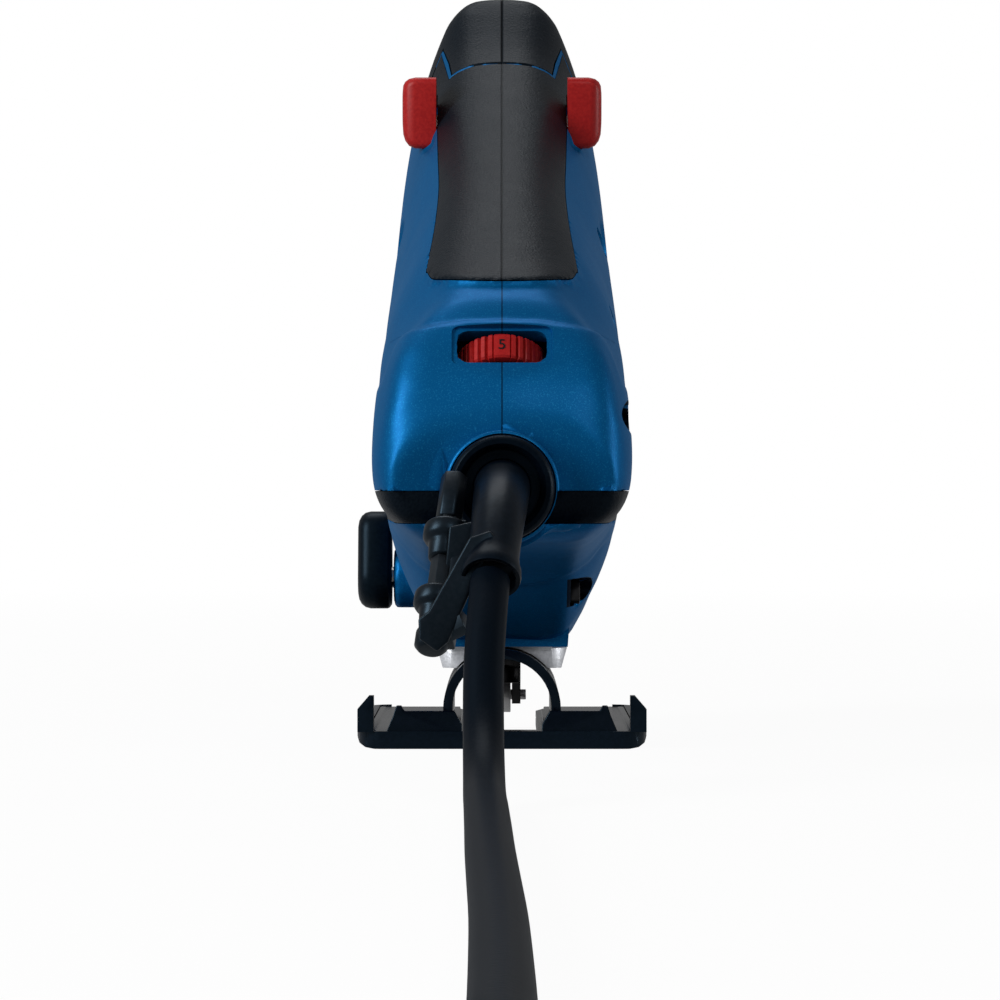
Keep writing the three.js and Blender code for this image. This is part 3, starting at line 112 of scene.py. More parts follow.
def white_sweep():
    mat, tree, skin = material("white_sweep")
    skin.inputs["Roughness"].default_value = 0.9
    skin.inputs["Specular IOR Level"].default_value = 0.1
    seen = seen_rays(tree)
    tree.links.new(spread(tree, seen, 0, 1, 0.18, 0.8), skin.inputs["Base Color"])
    glow = tree.nodes.new("ShaderNodeEmission")
    glow.inputs["Color"].default_value = (1, 1, 1, 1)
    glow.inputs["Strength"].default_value = 1
    # The floor keeps a faint shadow round the tool, and runs out to plain white.
    place = tree.nodes.new("ShaderNodeTexCoord")
    away = tree.nodes.new("ShaderNodeVectorMath")
    away.operation = "LENGTH"
    tree.links.new(place.outputs["Object"], away.inputs[0])
    white = spread(tree, away.outputs["Value"], 0.25, 1.6, 0.95, 1)
    mix = tree.nodes.new("ShaderNodeMixShader")
    tree.links.new(reckoned(tree, "MULTIPLY", seen, white), mix.inputs["Fac"])
    tree.links.new(skin.outputs["BSDF"], mix.inputs[1])
    tree.links.new(glow.outputs["Emission"], mix.inputs[2])
    tree.links.new(mix.outputs["Shader"], tree.nodes["Material Output"].inputs["Surface"])
    bpy.ops.object.select_all(action="DESELECT")
    bpy.ops.mesh.primitive_plane_add(size=12, location=(0, 0, 0))
    floor = bpy.context.active_object
    floor.name = "floor"
    floor.data.materials.append(mat)


def studio_air():
    world = bpy.data.worlds.new("studio_air")
    bpy.context.scene.world = world
    world.use_nodes = True
    tree = world.node_tree
    back = tree.nodes["Background"]
    back.inputs["Color"].default_value = (1, 1, 1, 1)
    tree.links.new(spread(tree, seen_rays(tree), 0, 1, 0.05, 1), back.inputs["Strength"])


camera_view()
softbox("key_left", (-1.25, -0.72, 0.72), (0, 0, 0.11), (0.6, 1.0), 23)
softbox("fill_right", (0.5, -1.35, 1.05), (0, 0, 0.12), (0.5, 0.5), 4.2)
softbox("edge_right", (1.3, -0.1, 0.2), (0, 0, 0.08), (0.3, 0.7), 6)
softbox("rim_top", (-0.1, 0.6, 1.2), (0, 0, 0.12), (0.8, 0.5), 4)
white_sweep()
studio_air()
bpy.context.scene.view_settings.view_transform = "Standard"

# ---------------------------------------------------------------- mains cord

# A round two-core lead with a matt black rubber sheath, 9.4 mm thick. It leaves the boot, comes down to the
# table and runs away behind the tool. The rest is wound in two layers of three turns, held by a strap.


def grain(tree, scale, detail=2.0):
    """Fine noise over the surface, read in metres from the piece's own coordinates."""
    place = tree.nodes.new("ShaderNodeTexCoord")
    noise = tree.nodes.new("ShaderNodeTexNoise")
    noise.inputs["Scale"].default_value = scale
    noise.inputs["Detail"].default_value = detail
    tree.links.new(place.outputs["Object"], noise.inputs["Vector"])
    return noise


def sheath_rubber():
    mat, tree, skin = material("sheath_rubber")
    skin.inputs["Base Color"].default_value = (0.0012, 0.0028, 0.0058, 1)
    skin.inputs["Roughness"].default_value = 0.5
    skin.inputs["Specular IOR Level"].default_value = 0.06
    skin.inputs["Specular Tint"].default_value = (0.42, 0.72, 1, 1)
    noise = grain(tree, 900)
    bump = tree.nodes.new("ShaderNodeBump")
    bump.inputs["Strength"].default_value = 0.25
    bump.inputs["Distance"].default_value = 0.0002
    tree.links.new(noise.outputs["Fac"], bump.inputs["Height"])
    tree.links.new(bump.outputs["Normal"], skin.inputs["Normal"])
    return mat


def through(points, step=5):
    """A smooth centripetal curve through the points, with a few points between each pair."""
    pts = [Vector(p) for p in points]
    pts = [2 * pts[0] - pts[1]] + pts + [2 * pts[-1] - pts[-2]]
    out = []
    for a, b, c, d in zip(pts, pts[1:], pts[2:], pts[3:]):
        ta = 0.0
        tb = ta + (b - a).length ** 0.5
        tc = tb + (c - b).length ** 0.5
        td = tc + (d - c).length ** 0.5
        for i in range(step):
            t = tb + (tc - tb) * i / step
            ab = a.lerp(b, (t - ta) / (tb - ta))
            bc = b.lerp(c, (t - tb) / (tc - tb))
            cd = c.lerp(d, (t - tc) / (td - tc))
            abc = ab.lerp(bc, (t - ta) / (tc - ta))
            bcd = bc.lerp(cd, (t - tb) / (td - tb))
            out.append(abc.lerp(bcd, (t - tb) / (tc - tb)))
    out.append(pts[-2])
    return out


def coil_turns():
    """Three turns inwards on the table, then three outwards on top of them, a point for every 15 degrees."""
    low = 0.00505
    high = low + 0.0094
    radii = [0.0564, 0.047, 0.0376]

    def ease(value, start, end):
        t = min(1.0, max(0.0, (value - start) / (end - start)))
        return t * t * (3 - 2 * t)

    out = []
    for i in range(1, 125):
        turn, part = divmod(i, 24)
        share = part / 24
        if turn < 2:
            r, z = radii[turn] + (radii[turn + 1] - radii[turn]) * ease(share, 0.8, 1), low
        elif turn == 2:
            r, z = radii[2], low + (high - low) * ease(share, 0.55, 0.8)
        elif turn < 5:
            r, z = radii[5 - turn] + (radii[4 - turn] - radii[5 - turn]) * ease(share, 0.45, 0.7), high
        else:
            r, z = radii[0], high
        angle = -math.radians(15 * i)
        out.append(Vector((r * math.cos(angle), -0.7355 + r * math.sin(angle), z)))
    last, plug = Vector((0.0282, -0.7843, 0.01445)), Vector((-0.00308, -0.8024, 0.0137))
    return out + [last.lerp(plug, s) for s in (0.25, 0.5, 0.75, 1.0)]


def mains_cord():
    route = [
        (-0.002754, -0.14004, 0.049774), (-0.0036, -0.1499, 0.0401),
        (-0.0042, -0.159, 0.0295), (-0.0042, -0.172, 0.0155), (-0.004, -0.188, 0.0078),
        (-0.0038, -0.208, 0.00505), (-0.0034, -0.24, 0.00505), (-0.0028, -0.29, 0.00505),
        (-0.0022, -0.345, 0.00505), (-0.0014, -0.4, 0.00505), (-0.0006, -0.455, 0.00505),
        (-0.0002, -0.51, 0.00505), (0, -0.56, 0.00505), (0, -0.593, 0.00505), (0.0019, -0.6076, 0.00505),
        (0.0076, -0.6212, 0.00505), (0.0165, -0.6329, 0.00505), (0.0282, -0.6418, 0.00505),
        (0.0399, -0.6508, 0.00505), (0.0488, -0.6625, 0.00505), (0.0545, -0.6761, 0.00505),
        (0.0564, -0.6907, 0.00505), (0.0564, -0.7023, 0.00505),
    ]
    points = through(route, 3) + coil_turns()
    curve = bpy.data.curves.new("mains_cord", "CURVE")
    curve.dimensions = "3D"
    curve.bevel_depth = 0.0047
    curve.bevel_resolution = 5
    curve.use_fill_caps = True
    spline = curve.splines.new("POLY")
    spline.points.add(len(points) - 1)
    for knot, p in zip(spline.points, points):
        knot.co = (*p, 1)
    spline.use_smooth = True
    cord = bpy.data.objects.new("mains_cord", curve)
    bpy.context.scene.collection.objects.link(cord)
    curve.materials.append(sheath_rubber())
    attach(cord, "housing")
    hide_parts("power_cord", "cord_coil")
    return cord


cord = mains_cord()

# ---------------------------------------------------------------- housing

# Two glass-filled nylon half shells, moulded through in metallic blue with a fine sparkle, meet on the centre
# plane and are screwed together from the right. Their outside is one flowing form: the tail steps in twice
# round the dial, the flanks stand back from it, and the lower shell draws in under the band.


def bare_copy(name, *nodes):
    """The solids' own skins as one new mesh, with its loose triangles joined up."""
    bpy.ops.object.select_all(action="DESELECT")
    for node in nodes:
        twin = bpy.data.objects.new(name, cad[node].data.copy())
        bpy.context.scene.collection.objects.link(twin)
        twin.data.materials.clear()
        twin.select_set(True)
        bpy.context.view_layer.objects.active = twin
    if len(nodes) > 1:
        bpy.ops.object.join()
    twin = bpy.context.active_object
    bpy.ops.mesh.customdata_custom_splitnormals_clear()
    bpy.ops.object.mode_set(mode="EDIT")
    bpy.ops.mesh.select_all(action="SELECT")
    bpy.ops.mesh.remove_doubles(threshold=0.00001)
    bpy.ops.object.mode_set(mode="OBJECT")
    return twin


def pick(piece):
    """Makes this the one selected and active object."""
    bpy.ops.object.select_all(action="DESELECT")
    bpy.context.view_layer.objects.active = piece
    piece.select_set(True)


def shaped(piece, kind, **settings):
    """Adds one modifier with its settings and applies it."""
    pick(piece)
    step = piece.modifiers.new(kind.lower(), kind)
    for key, value in settings.items():
        setattr(step, key, value)
    bpy.ops.object.modifier_apply(modifier=step.name)
    return piece


def cut(piece, tool, how="DIFFERENCE", keep=False):
    shaped(piece, "BOOLEAN", object=tool, operation=how, solver="MANIFOLD")
    if not keep:
        bpy.data.objects.remove(tool)
    return piece


def twin_of(piece, name):
    pick(piece)
    bpy.ops.object.duplicate()
    bpy.context.active_object.name = name
    return bpy.context.active_object


def built(name, verts, faces):
    """A new closed mesh from its corners and faces, with its normals turned outwards."""
    mesh = bpy.data.meshes.new(name)
    mesh.from_pydata(verts, [], faces)
    piece = bpy.data.objects.new(name, mesh)
    bpy.context.scene.collection.objects.link(piece)
    pick(piece)
    bpy.ops.object.mode_set(mode="EDIT")
    bpy.ops.mesh.select_all(action="SELECT")
    bpy.ops.mesh.normals_make_consistent(inside=False)
    bpy.ops.object.mode_set(mode="OBJECT")
    return piece


def stacked(name, rings):
    """A closed skin over rings of equally many points."""
    count = len(rings[0])
    faces = [tuple(range(count))[::-1], tuple(range((len(rings) - 1) * count, len(rings) * count))]
    for k in range(len(rings) - 1):
        a, b = k * count, (k + 1) * count
        faces += [(a + i, a + (i + 1) % count, b + (i + 1) % count, b + i) for i in range(count)]
    return built(name, [p for ring in rings for p in ring], faces)


def slab(name, outline, axis, start, end):
    """A flat outline of two coordinates, pushed along the third axis from start to end."""
    def at(u, v, w):
        return {"x": (w, u, v), "y": (u, w, v), "z": (u, v, w)}[axis]
    return stacked(name, [[at(u, v, w) for u, v in outline] for w in (start, end)])


def weigh(piece, group, rule):
    """Fills a vertex group with rule(place), from 0 to 1."""
    weights = piece.vertex_groups.new(name=group)
    for vert in piece.data.vertices:
        value = rule(vert.co)
        if value > 0:
            weights.add([vert.index], min(1.0, value), "REPLACE")


def slope(value, start, end):
    t = min(1.0, max(0.0, (value - start) / (end - start)))
    return t * t * (3 - 2 * t)


ring_height = 0.0712


def drum(radius, start, end):
    """A cylinder on the cord ring's own axis."""
    bpy.ops.mesh.primitive_cylinder_add(
        vertices=96, radius=radius, depth=end - start, location=(0, (start + end) / 2, ring_height),
        rotation=(math.pi / 2, 0, 0),
    )
    bpy.ops.object.transform_apply(location=True, rotation=True, scale=True)
    return bpy.context.active_object


def over_gaps(p):
    """Where the skin spans the cord ring, the lever's pad and the dial window, and over the round grip."""
    ring = math.hypot(p.x, p.z - ring_height) if p.y < -0.085 else 1
    pad = math.hypot(p.y - 0.08, p.z - 0.045) if p.x < -0.024 else 1
    dial = max(abs(p.x), abs(p.z - 0.1015) * 1.6) if p.y < -0.07 else 1
    grip = slope(p.z, 0.124, 0.132) * slope(0.022 - abs(p.x), 0, 0.004) * slope(0.1 - p.y, 0, 0.02)
    return max(slope(-ring, -0.024, -0.02), slope(-pad, -0.0165, -0.014), slope(-dial, -0.0185, -0.0155),
               0.75 * grip)


def body_skin():
    outer = [side + part for side in ("left_", "right_")
             for part in ("housing_shell", "softgrip", "nose_cap", "bumper_band")]
    form = bare_copy("form", *outer)
    pick(form)
    for poly in form.data.polygons:
        poly.select = False
    for edge in form.data.edges:
        edge.select = False
    for vert in form.data.vertices:
        p = vert.co
        ring = p.y < -0.0965 and math.hypot(p.x, p.z - ring_height) < 0.017
        pad = p.x < -0.0292 and math.hypot(p.y - 0.08, p.z - 0.045) < 0.0105
        vert.select = ring or pad
    bpy.ops.object.mode_set(mode="EDIT")
    bpy.ops.mesh.delete(type="VERT")
    bpy.ops.object.mode_set(mode="OBJECT")
    skin = twin_of(form, "skin")
    bpy.ops.object.mode_set(mode="EDIT")
    bpy.ops.mesh.select_all(action="SELECT")
    bpy.ops.mesh.convex_hull()
    bpy.ops.object.mode_set(mode="OBJECT")
    shaped(skin, "REMESH", mode="VOXEL", voxel_size=0.0032)
    shaped(skin, "SHRINKWRAP", target=form, wrap_method="NEAREST_SURFACEPOINT")
    shaped(skin, "SMOOTH", factor=0.5, iterations=7)
    shaped(skin, "SHRINKWRAP", target=form, wrap_method="NEAREST_SURFACEPOINT")
    shaped(skin, "SMOOTH", factor=0.5, iterations=3)
    weigh(skin, "gaps", over_gaps)
    shaped(skin, "SMOOTH", factor=0.5, iterations=70, vertex_group="gaps")
    for vert in skin.data.vertices:
        p = vert.co
        p.z += 0.0016 * slope(p.z, 0.19, 0.208)
        p.y += 0.09 * abs(p.x) * slope(-p.y, 0.045, 0.075)
    shaped(skin, "SUBSURF", levels=1, render_levels=1)
    bpy.data.objects.remove(form)
    return skin


def brow(x):
    """The arched lower edge of the panel under the grip."""
    return 0.1131 - 0.0021 * (x / 0.024) ** 2


def crease(skin):
    """Steps the tail, stands the flanks back and draws the lower shell in."""
    under = twin_of(skin, "under")
    weigh(under, "back", lambda p: (slope(-p.y, -0.02, 0.03) if p.z < 0.0615 else slope(-p.y, 0.03, 0.06)))
    shaped(under, "DISPLACE", strength=-0.0017, mid_level=0, vertex_group="back")
    tools = []
    for side in (-1, 1):
        tools.append(slab("flank", [
            (-0.05, 0.134), (-0.0545, 0.1285), (-0.0585, 0.1225), (-0.0625, 0.1168), (-0.066, 0.112),
            (-0.0695, 0.107), (-0.0722, 0.1025), (-0.0724, 0.0995), (-0.07, 0.0975), (-0.06, 0.0968),
            (0.03, 0.0962), (0.03, 0.15), (-0.02, 0.15),
        ], "x", side * 0.0198, side * 0.06))
    # The panel under the grip, down to a brow that arches across the tail.
    tools.append(below_grip("step", brow))
    sweep = [(-0.036, 0.0592), (-0.0295, 0.0582), (-0.0262, 0.0552), (-0.0235, 0.0515), (-0.0192, 0.0485),
             (-0.0145, 0.0465), (-0.0095, 0.0452), (-0.003, 0.0446)]
    sweep += [(-x, z) for x, z in reversed(sweep)]
    tools.append(slab("sweep", sweep + [(0.036, 0.02), (-0.036, 0.02)], "y", -0.11, 0.05))
    for tool in tools:
        cut(tool, under, keep=True)
        cut(skin, tool)
    bpy.data.objects.remove(under)
    # A ledge beside the grip, level with the lower edge of each button.
    for side in (-1, 1):
        rest = [(-0.03, 0.1653), (0.0532, 0.1653), (0.0532, 0.22), (-0.03, 0.22)]
        cut(skin, slab("ledge", rest, "x", side * 0.0189, side * 0.06))
    # The hollow round the dial.
    bpy.ops.mesh.primitive_cylinder_add(
        vertices=160, radius=0.02306, depth=0.09, location=(0, -0.10656, 0.1162),
        rotation=(0, math.pi / 2, 0),
    )
    bpy.ops.object.transform_apply(location=True, rotation=True, scale=True)
    cut(skin, bpy.context.active_object)
    shaped(skin, "REMESH", mode="VOXEL", voxel_size=0.0011)
    shaped(skin, "SMOOTH", factor=0.5, iterations=4)


def lay_on(piece, skin, reach):
    """Draws the outer face of the moulding onto the skin, and leaves its walls and its inside alone."""
    near = BVHTree.FromObject(skin, bpy.context.evaluated_depsgraph_get())
    outside = piece.vertex_groups.new(name="outside")
    for vert in piece.data.vertices:
        p = vert.co
        weight = slope(p.z, 0.031, 0.044)
        if p.x < -0.028:
            weight *= slope(math.hypot(p.y - 0.08, p.z - 0.045), 0.0098, 0.012)
        if weight > 0:
            place, normal, _, _ = near.find_nearest(p, reach)
            if place is not None and normal.dot(vert.normal) > 0.5:
                outside.add([vert.index], weight, "REPLACE")
    shaped(piece, "SHRINKWRAP", target=skin, wrap_method="NEAREST_SURFACEPOINT", vertex_group="outside")
    piece.vertex_groups.clear()


def grip_plan(grow):
    """The rubber's outline seen from above: waisted sides, a rounded tail end, and two tabs round the cap."""
    right = [(0, -80), (15.6, -79.6), (16.4, -76), (16.4, -66), (16.6, -60), (17.3, -55.5), (18.3, -51.5),
             (18.9, -47), (18.6, -40), (17.6, -26), (16.7, -5), (16.5, 10), (17.1, 32), (17.7, 56), (18.1, 72),
             (19.3, 84), (19.6, 92), (17.9, 93), (16.9, 84), (15.7, 74.6), (11, 72.2), (5, 70.8), (0, 70.5)]
    smooth = through([(x / 1000, y / 1000, 0) for x, y in right[:15]], 4)
    smooth += [Vector((x / 1000, y / 1000, 0)) for x, y in right[15:]]
    loop = [p.to_2d() for p in smooth] + [Vector((-p.x, p.y)) for p in reversed(smooth[1:-1])]
    out = []
    for a, b, c in zip(loop[-1:] + loop[:-1], loop, loop[1:] + loop[:1]):
        way = ((b - a).normalized() + (c - b).normalized()).normalized()
        out.append((b.x + way.y * grow, b.y - way.x * grow))
    return out


def below_grip(name, low, drop=0.0):
    """The space under the grip's lower edge, which arches up at its corners; low is its own lower edge."""
    rings = []
    for k in range(-54, 55):
        x = 0.0006 * k
        corner = min(0.0019, max(0.0, abs(x) - 0.017))
        top = 0.125 + 0.0006 * (x / 0.015) ** 2 - math.sqrt(0.0019 ** 2 - corner ** 2) - drop
        rings.append([(x, -0.12, low(x) + 0.001), (x, -0.045, low(x) - 0.002), (x, -0.045, top + 0.0006),
                      (x, -0.12, top - 0.0006)])
    return stacked(name, rings)


def grip_room(grow, drop=0.0):
    room = slab("grip_room", grip_plan(grow), "z", 0.1, 0.24)
    return cut(room, below_grip("below", lambda x: 0.08, drop))


def nose_room(grow):
    outline = [(68, 187.4), (93, 184.4), (122, 170.4), (156, 164.4), (156, 235), (68, 235)]
    room = slab("nose_room", [(y / 1000 - grow, z / 1000 - grow) for y, z in outline], "x", -0.06, 0.06)
    return cut(room, grip_room(0.0017 - grow))


def band_room(grow):
    room = slab("band_room", [
        (-0.12, 0.0624 - grow), (0.005 + grow, 0.0624 - grow), (0.005 + grow, 0.0704 + grow),
        (-0.12, 0.0704 + grow),
    ], "x", -0.06, 0.06)
    return cut(room, drum(0.0136 - grow, -0.14, -0.08))


def half_of(piece, name, side):
    half = twin_of(piece, name)
    edges = (0, 0.3) if side > 0 else (-0.3, 0)
    plan = [(edges[0], -0.3), (edges[1], -0.3), (edges[1], 0.3), (edges[0], 0.3)]
    cut(half, slab("room", plan, "z", -0.1, 0.4), how="INTERSECT")
    half.data.name = name
    return half


def soften(piece, angle=50):
    pick(piece)
    bpy.ops.object.shade_smooth_by_angle(angle=math.radians(angle))


def finish(piece, mat, body, slot, *nodes):
    """Gives the piece its material, its body and the CAD nodes it stands for."""
    piece.data.materials.clear()
    piece.data.materials.append(mat)
    piece.data.name = piece.name
    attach(piece, body)
    if nodes:
        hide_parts(*nodes)


def off_centre(tree):
    """How far a point lies from the plane where the two halves meet."""
    place = tree.nodes.new("ShaderNodeTexCoord")
    split = tree.nodes.new("ShaderNodeSeparateXYZ")
    tree.links.new(place.outputs["Object"], split.inputs["Vector"])
    return reckoned(tree, "ABSOLUTE", split.outputs["X"])


def blend(tree, share, one, other):
    """Two colours, each a value or a socket, mixed by a share."""
    mix = tree.nodes.new("ShaderNodeMix")
    mix.data_type = "RGBA"
    tree.links.new(share, mix.inputs["Factor"])
    for name, colour in (("A", one), ("B", other)):
        if isinstance(colour, tuple):
            mix.inputs[name].default_value = (*colour, 1)
        else:
            tree.links.new(colour, mix.inputs[name])
    return mix.outputs["Result"]


def seam(tree, colour):
    """A hairline where the halves meet: the colour goes dark there."""
    line = spread(tree, off_centre(tree), 0.00006, 0.00022, 0, 1)
    return blend(tree, line, (0.001, 0.0012, 0.0015), colour)


def groove(tree, height, share):
    """The same hairline as a shallow groove in a height."""
    line = spread(tree, off_centre(tree), 0, 0.0004, 0, 1)
    return reckoned(tree, "MULTIPLY_ADD", line, share, height)


def mottled(tree, dark, bright, source, low=0.35, high=0.65):
    """A colour that runs between two with a noise."""
    return blend(tree, spread(tree, source.outputs["Fac"], low, high, 0, 1), dark, bright)


def bumped(tree, skin, height, strength, distance):
    bump = tree.nodes.new("ShaderNodeBump")
    bump.inputs["Strength"].default_value = strength
    bump.inputs["Distance"].default_value = distance
    tree.links.new(height, bump.inputs["Height"])
    tree.links.new(bump.outputs["Normal"], skin.inputs["Normal"])


def roughened(tree, skin, low, high, scale=70):
    cloud = grain(tree, scale, 3)
    tree.links.new(spread(tree, cloud.outputs["Fac"], 0, 1, low, high), skin.inputs["Roughness"])


# Each recess: its place along the tool, half length, height, half width, and how far out its floor lies.
screw_wells = ((-0.063, 0.0215, 0.0886, 0.0046, 0.0297), (0.004, 0.0155, 0.0425, 0.0043, 0.0185))


def painted_well_shade(tree, colour):
    """Painted shade in the screw recesses: their walls and floors go nearly black, standing in for the shade
    deep inside them.
    """
    for y, reach, z, radius, floor in screw_wells:
        place = tree.nodes.new("ShaderNodeTexCoord")
        fit = tree.nodes.new("ShaderNodeMapping")
        fit.vector_type = "TEXTURE"
        fit.inputs["Location"].default_value = (0.05, y, z)
        fit.inputs["Scale"].default_value = (0.0325, reach + 0.00012, radius + 0.00012)
        far = tree.nodes.new("ShaderNodeSeparateXYZ")
        tree.links.new(place.outputs["Object"], fit.inputs["Vector"])
        tree.links.new(fit.outputs["Vector"], far.inputs["Vector"])
        across = reckoned(tree, "MULTIPLY", far.outputs["Y"], far.outputs["Y"])
        around = reckoned(tree, "MULTIPLY_ADD", far.outputs["Z"], far.outputs["Z"], across)
        outwards = reckoned(tree, "GREATER_THAN", far.outputs["X"], -1)
        inside = reckoned(tree, "MULTIPLY", reckoned(tree, "LESS_THAN", around, 1), outwards)
        # Painted shade: inside each recess the blue is swapped for near black.
        colour = blend(tree, inside, colour, (0.0008, 0.002, 0.006))
    return colour


def sparkle_blue():
    mat, tree, skin = material("sparkle_blue")
    skin.inputs["Metallic"].default_value = 0.5
    skin.inputs["Specular IOR Level"].default_value = 0.08
    skin.inputs["Specular Tint"].default_value = (0.3, 0.65, 1, 1)
    skin.inputs["Coat Weight"].default_value = 0.03
    skin.inputs["Coat Roughness"].default_value = 0.3
    flake = grain(tree, 3000, 1)
    blue = mottled(tree, (0.001, 0.092, 0.262), (0.009, 0.178, 0.4), flake, 0.55, 0.8)
    tree.links.new(seam(tree, painted_well_shade(tree, blue)), skin.inputs["Base Color"])
    roughened(tree, skin, 0.4, 0.5)
    bumped(tree, skin, flake.outputs["Fac"], 0.1, 0.0002)
    return mat


dial_lean = math.radians(57)


def dial_place(u, v, w):
    """From the dial's own axes (across, outwards, along its axle) to the tool's."""
    return (-u, -0.0763 - v * math.sin(dial_lean) + w * math.cos(dial_lean),
            0.1004 + v * math.cos(dial_lean) + w * math.sin(dial_lean))


def housing_shells(skin, inner):
    shell = bare_copy("shell", "left_housing_shell", "right_housing_shell")
    shaped(shell, "REMESH", mode="VOXEL", voxel_size=0.0013)
    cut(shell, drum(0.0178, -0.115, -0.0967))
    lay_on(shell, skin, 0.0042)
    shaped(shell, "SMOOTH", factor=0.5, iterations=1)
    # A crisp collar round the cord ring, and a clean panel under the grip.
    collar = drum(0.0141, -0.1, -0.092)
    shaped(collar, "BEVEL", width=0.0009, segments=3, limit_method="ANGLE")
    cut(shell, collar, "UNION")
    cut(shell, drum(0.0133, -0.115, -0.0895))
    old = below_grip("old", lambda x: brow(x) + 0.0005, -0.0012)
    cut(old, inner, keep=True)
    cut(shell, old)
    patch = below_grip("patch", lambda x: brow(x) + 0.0003, -0.0014)
    over = twin_of(skin, "over")
    shaped(over, "DISPLACE", strength=0.00004, mid_level=0)
    cut(patch, over, "INTERSECT")
    cut(patch, inner, keep=True)
    cut(shell, patch, "UNION")
    for room in (grip_room(0.0007, 0.0003), nose_room(0.0003), band_room(0.0001)):
        cut(room, inner, keep=True)
        cut(shell, room)
    # A finger scoop high on each flank.
    for side in (-1, 1):
        bpy.ops.mesh.primitive_uv_sphere_add(
            segments=96, ring_count=48, radius=1, location=(side * 0.0326, 0.037, 0.1426),
        )
        scoop = bpy.context.active_object
        scoop.scale = (0.006, 0.0125, 0.0165)
        scoop.rotation_euler = (0.3, side * 0.24, 0)
        bpy.ops.object.transform_apply(location=True, rotation=True, scale=True)
        cut(shell, scoop)
    # The foot's rear lip, and two long screw recesses that run out towards the tail.
    lip = [(-0.0181, 0.0272), (0.0181, 0.0272), (0.0186, 0.0345), (-0.0186, 0.0345)]
    cut(shell, slab("rear_lip", lip, "y", 0.0258, 0.0277), "UNION")
    for y, reach, z, radius, floor in screw_wells:
        oval = [(y + reach * math.cos(a), z + radius * math.sin(a))
                for a in (2 * math.pi * i / 64 for i in range(64))]
        cut(shell, slab("well", oval, "x", floor, 0.06))
    # A crisp mouth for the dial window, narrower at its lower edge.
    mouth = []
    for out, grow in ((0.0105, 0.0), (0.0145, 0.0006), (0.02, 0.0030)):
        ring = []
        for cx, cu, turn in ((1, 1, 0), (-1, 1, 1), (-1, -1, 2), (1, -1, 3)):
            for i in range(5):
                a = math.pi / 2 * (turn + i / 4)
                u = cx * 0.0108 + (0.0016 + grow) * math.cos(a)
                v = cu * 0.0039 + (0.0016 + grow) * math.sin(a)
                ring.append(dial_place(-u, out, v))
        mouth.append(ring)
    cut(shell, stacked("mouth", mouth))
    blue = sparkle_blue()
    for side, name in ((-1, "left_housing_shell"), (1, "right_housing_shell")):
        half = half_of(shell, name.replace("_housing", ""), side)
        soften(half)
        finish(half, blue, "housing", "blue_housing", name)
    bpy.data.objects.remove(shell)


master = body_skin()
crease(master)
core = twin_of(master, "core")
shaped(core, "DISPLACE", strength=-0.0021, mid_level=0)
housing_shells(master, core)

# ---------------------------------------------------------------- rubber grip, nose and band

# Soft black rubber, moulded onto the shells after them: a waisted pad along the back of the grip, a dimpled
# cap over the nose, and a narrow band round the belly that guards the tool when it is laid down.


def soft_rubber(name, dimpled=False):
    mat, tree, skin = material(name)
    skin.inputs["Specular IOR Level"].default_value = 0.08
    skin.inputs["Specular Tint"].default_value = (0.6, 0.8, 1, 1)
    fine = grain(tree, 1500, 2)
    black = mottled(tree, (0.0022, 0.0042, 0.0075), (0.0045, 0.0078, 0.012), fine)
    tree.links.new(seam(tree, black), skin.inputs["Base Color"])
    roughened(tree, skin, 0.38, 0.46, 90)
    height = fine.outputs["Fac"]
    if dimpled:
        # Three columns of small slanting dimples on each side of the cap.
        place = tree.nodes.new("ShaderNodeTexCoord")
        split = tree.nodes.new("ShaderNodeSeparateXYZ")
        tree.links.new(place.outputs["Object"], split.inputs["Vector"])

        def step(kind, *values):
            return reckoned(tree, kind, *values)

        across = step("ABSOLUTE", split.outputs["X"])
        columns = None
        for middle, width in ((0.0066, 0.0011), (0.0112, 0.0011), (0.0146, 0.0006)):
            away = step("ABSOLUTE", step("SUBTRACT", across, middle))
            column = step("LESS_THAN", away, width)
            columns = column if columns is None else step("MAXIMUM", columns, column)
        slant = step("ADD", split.outputs["Z"], step("MULTIPLY", across, 0.5))
        wave = step("SINE", step("MULTIPLY", slant, 2 * math.pi / 0.0013))
        dash = step("GREATER_THAN", wave, 0.25)
        zone = step("MULTIPLY", step("GREATER_THAN", split.outputs["Z"], 0.194),
                    step("LESS_THAN", split.outputs["Z"], 0.209))
        pit = step("MULTIPLY", step("MULTIPLY", columns, dash), zone)
        height = step("SUBTRACT", step("MULTIPLY", height, 0.25), pit)
    bumped(tree, skin, groove(tree, height, 1.5), 0.9 if dimpled else 0.4, 0.0004 if dimpled else 0.0003)
    return mat


def rubber_halves(part, skin, inner, room, mat):
    both = twin_of(skin, part)
    cut(both, room, how="INTERSECT")
    cut(both, inner, keep=True)
    for side, hand in ((-1, "left_"), (1, "right_")):
        half = half_of(both, hand + "soft_" + part, side)
        soften(half)
        finish(half, mat, "housing", "soft_rubber", hand + part)
    bpy.data.objects.remove(both)


rubber_halves("softgrip", master, core, grip_room(0.0005), soft_rubber("grip_rubber"))
rubber_halves("nose_cap", master, core, nose_room(-0.0001), soft_rubber("cap_rubber", True))
rubber_halves("bumper_band", master, core, band_room(-0.0001), soft_rubber("band_rubber"))
bpy.data.objects.remove(core)
bpy.data.objects.remove(master)

# ---------------------------------------------------------------- cord gland, boot and key clip

# A firm rubber ring screwed in the tail, the smooth bend-relief boot that guides the cord down out of it, and
# a moulded clip on the boot that carries the blackened hex key for the base clamp.


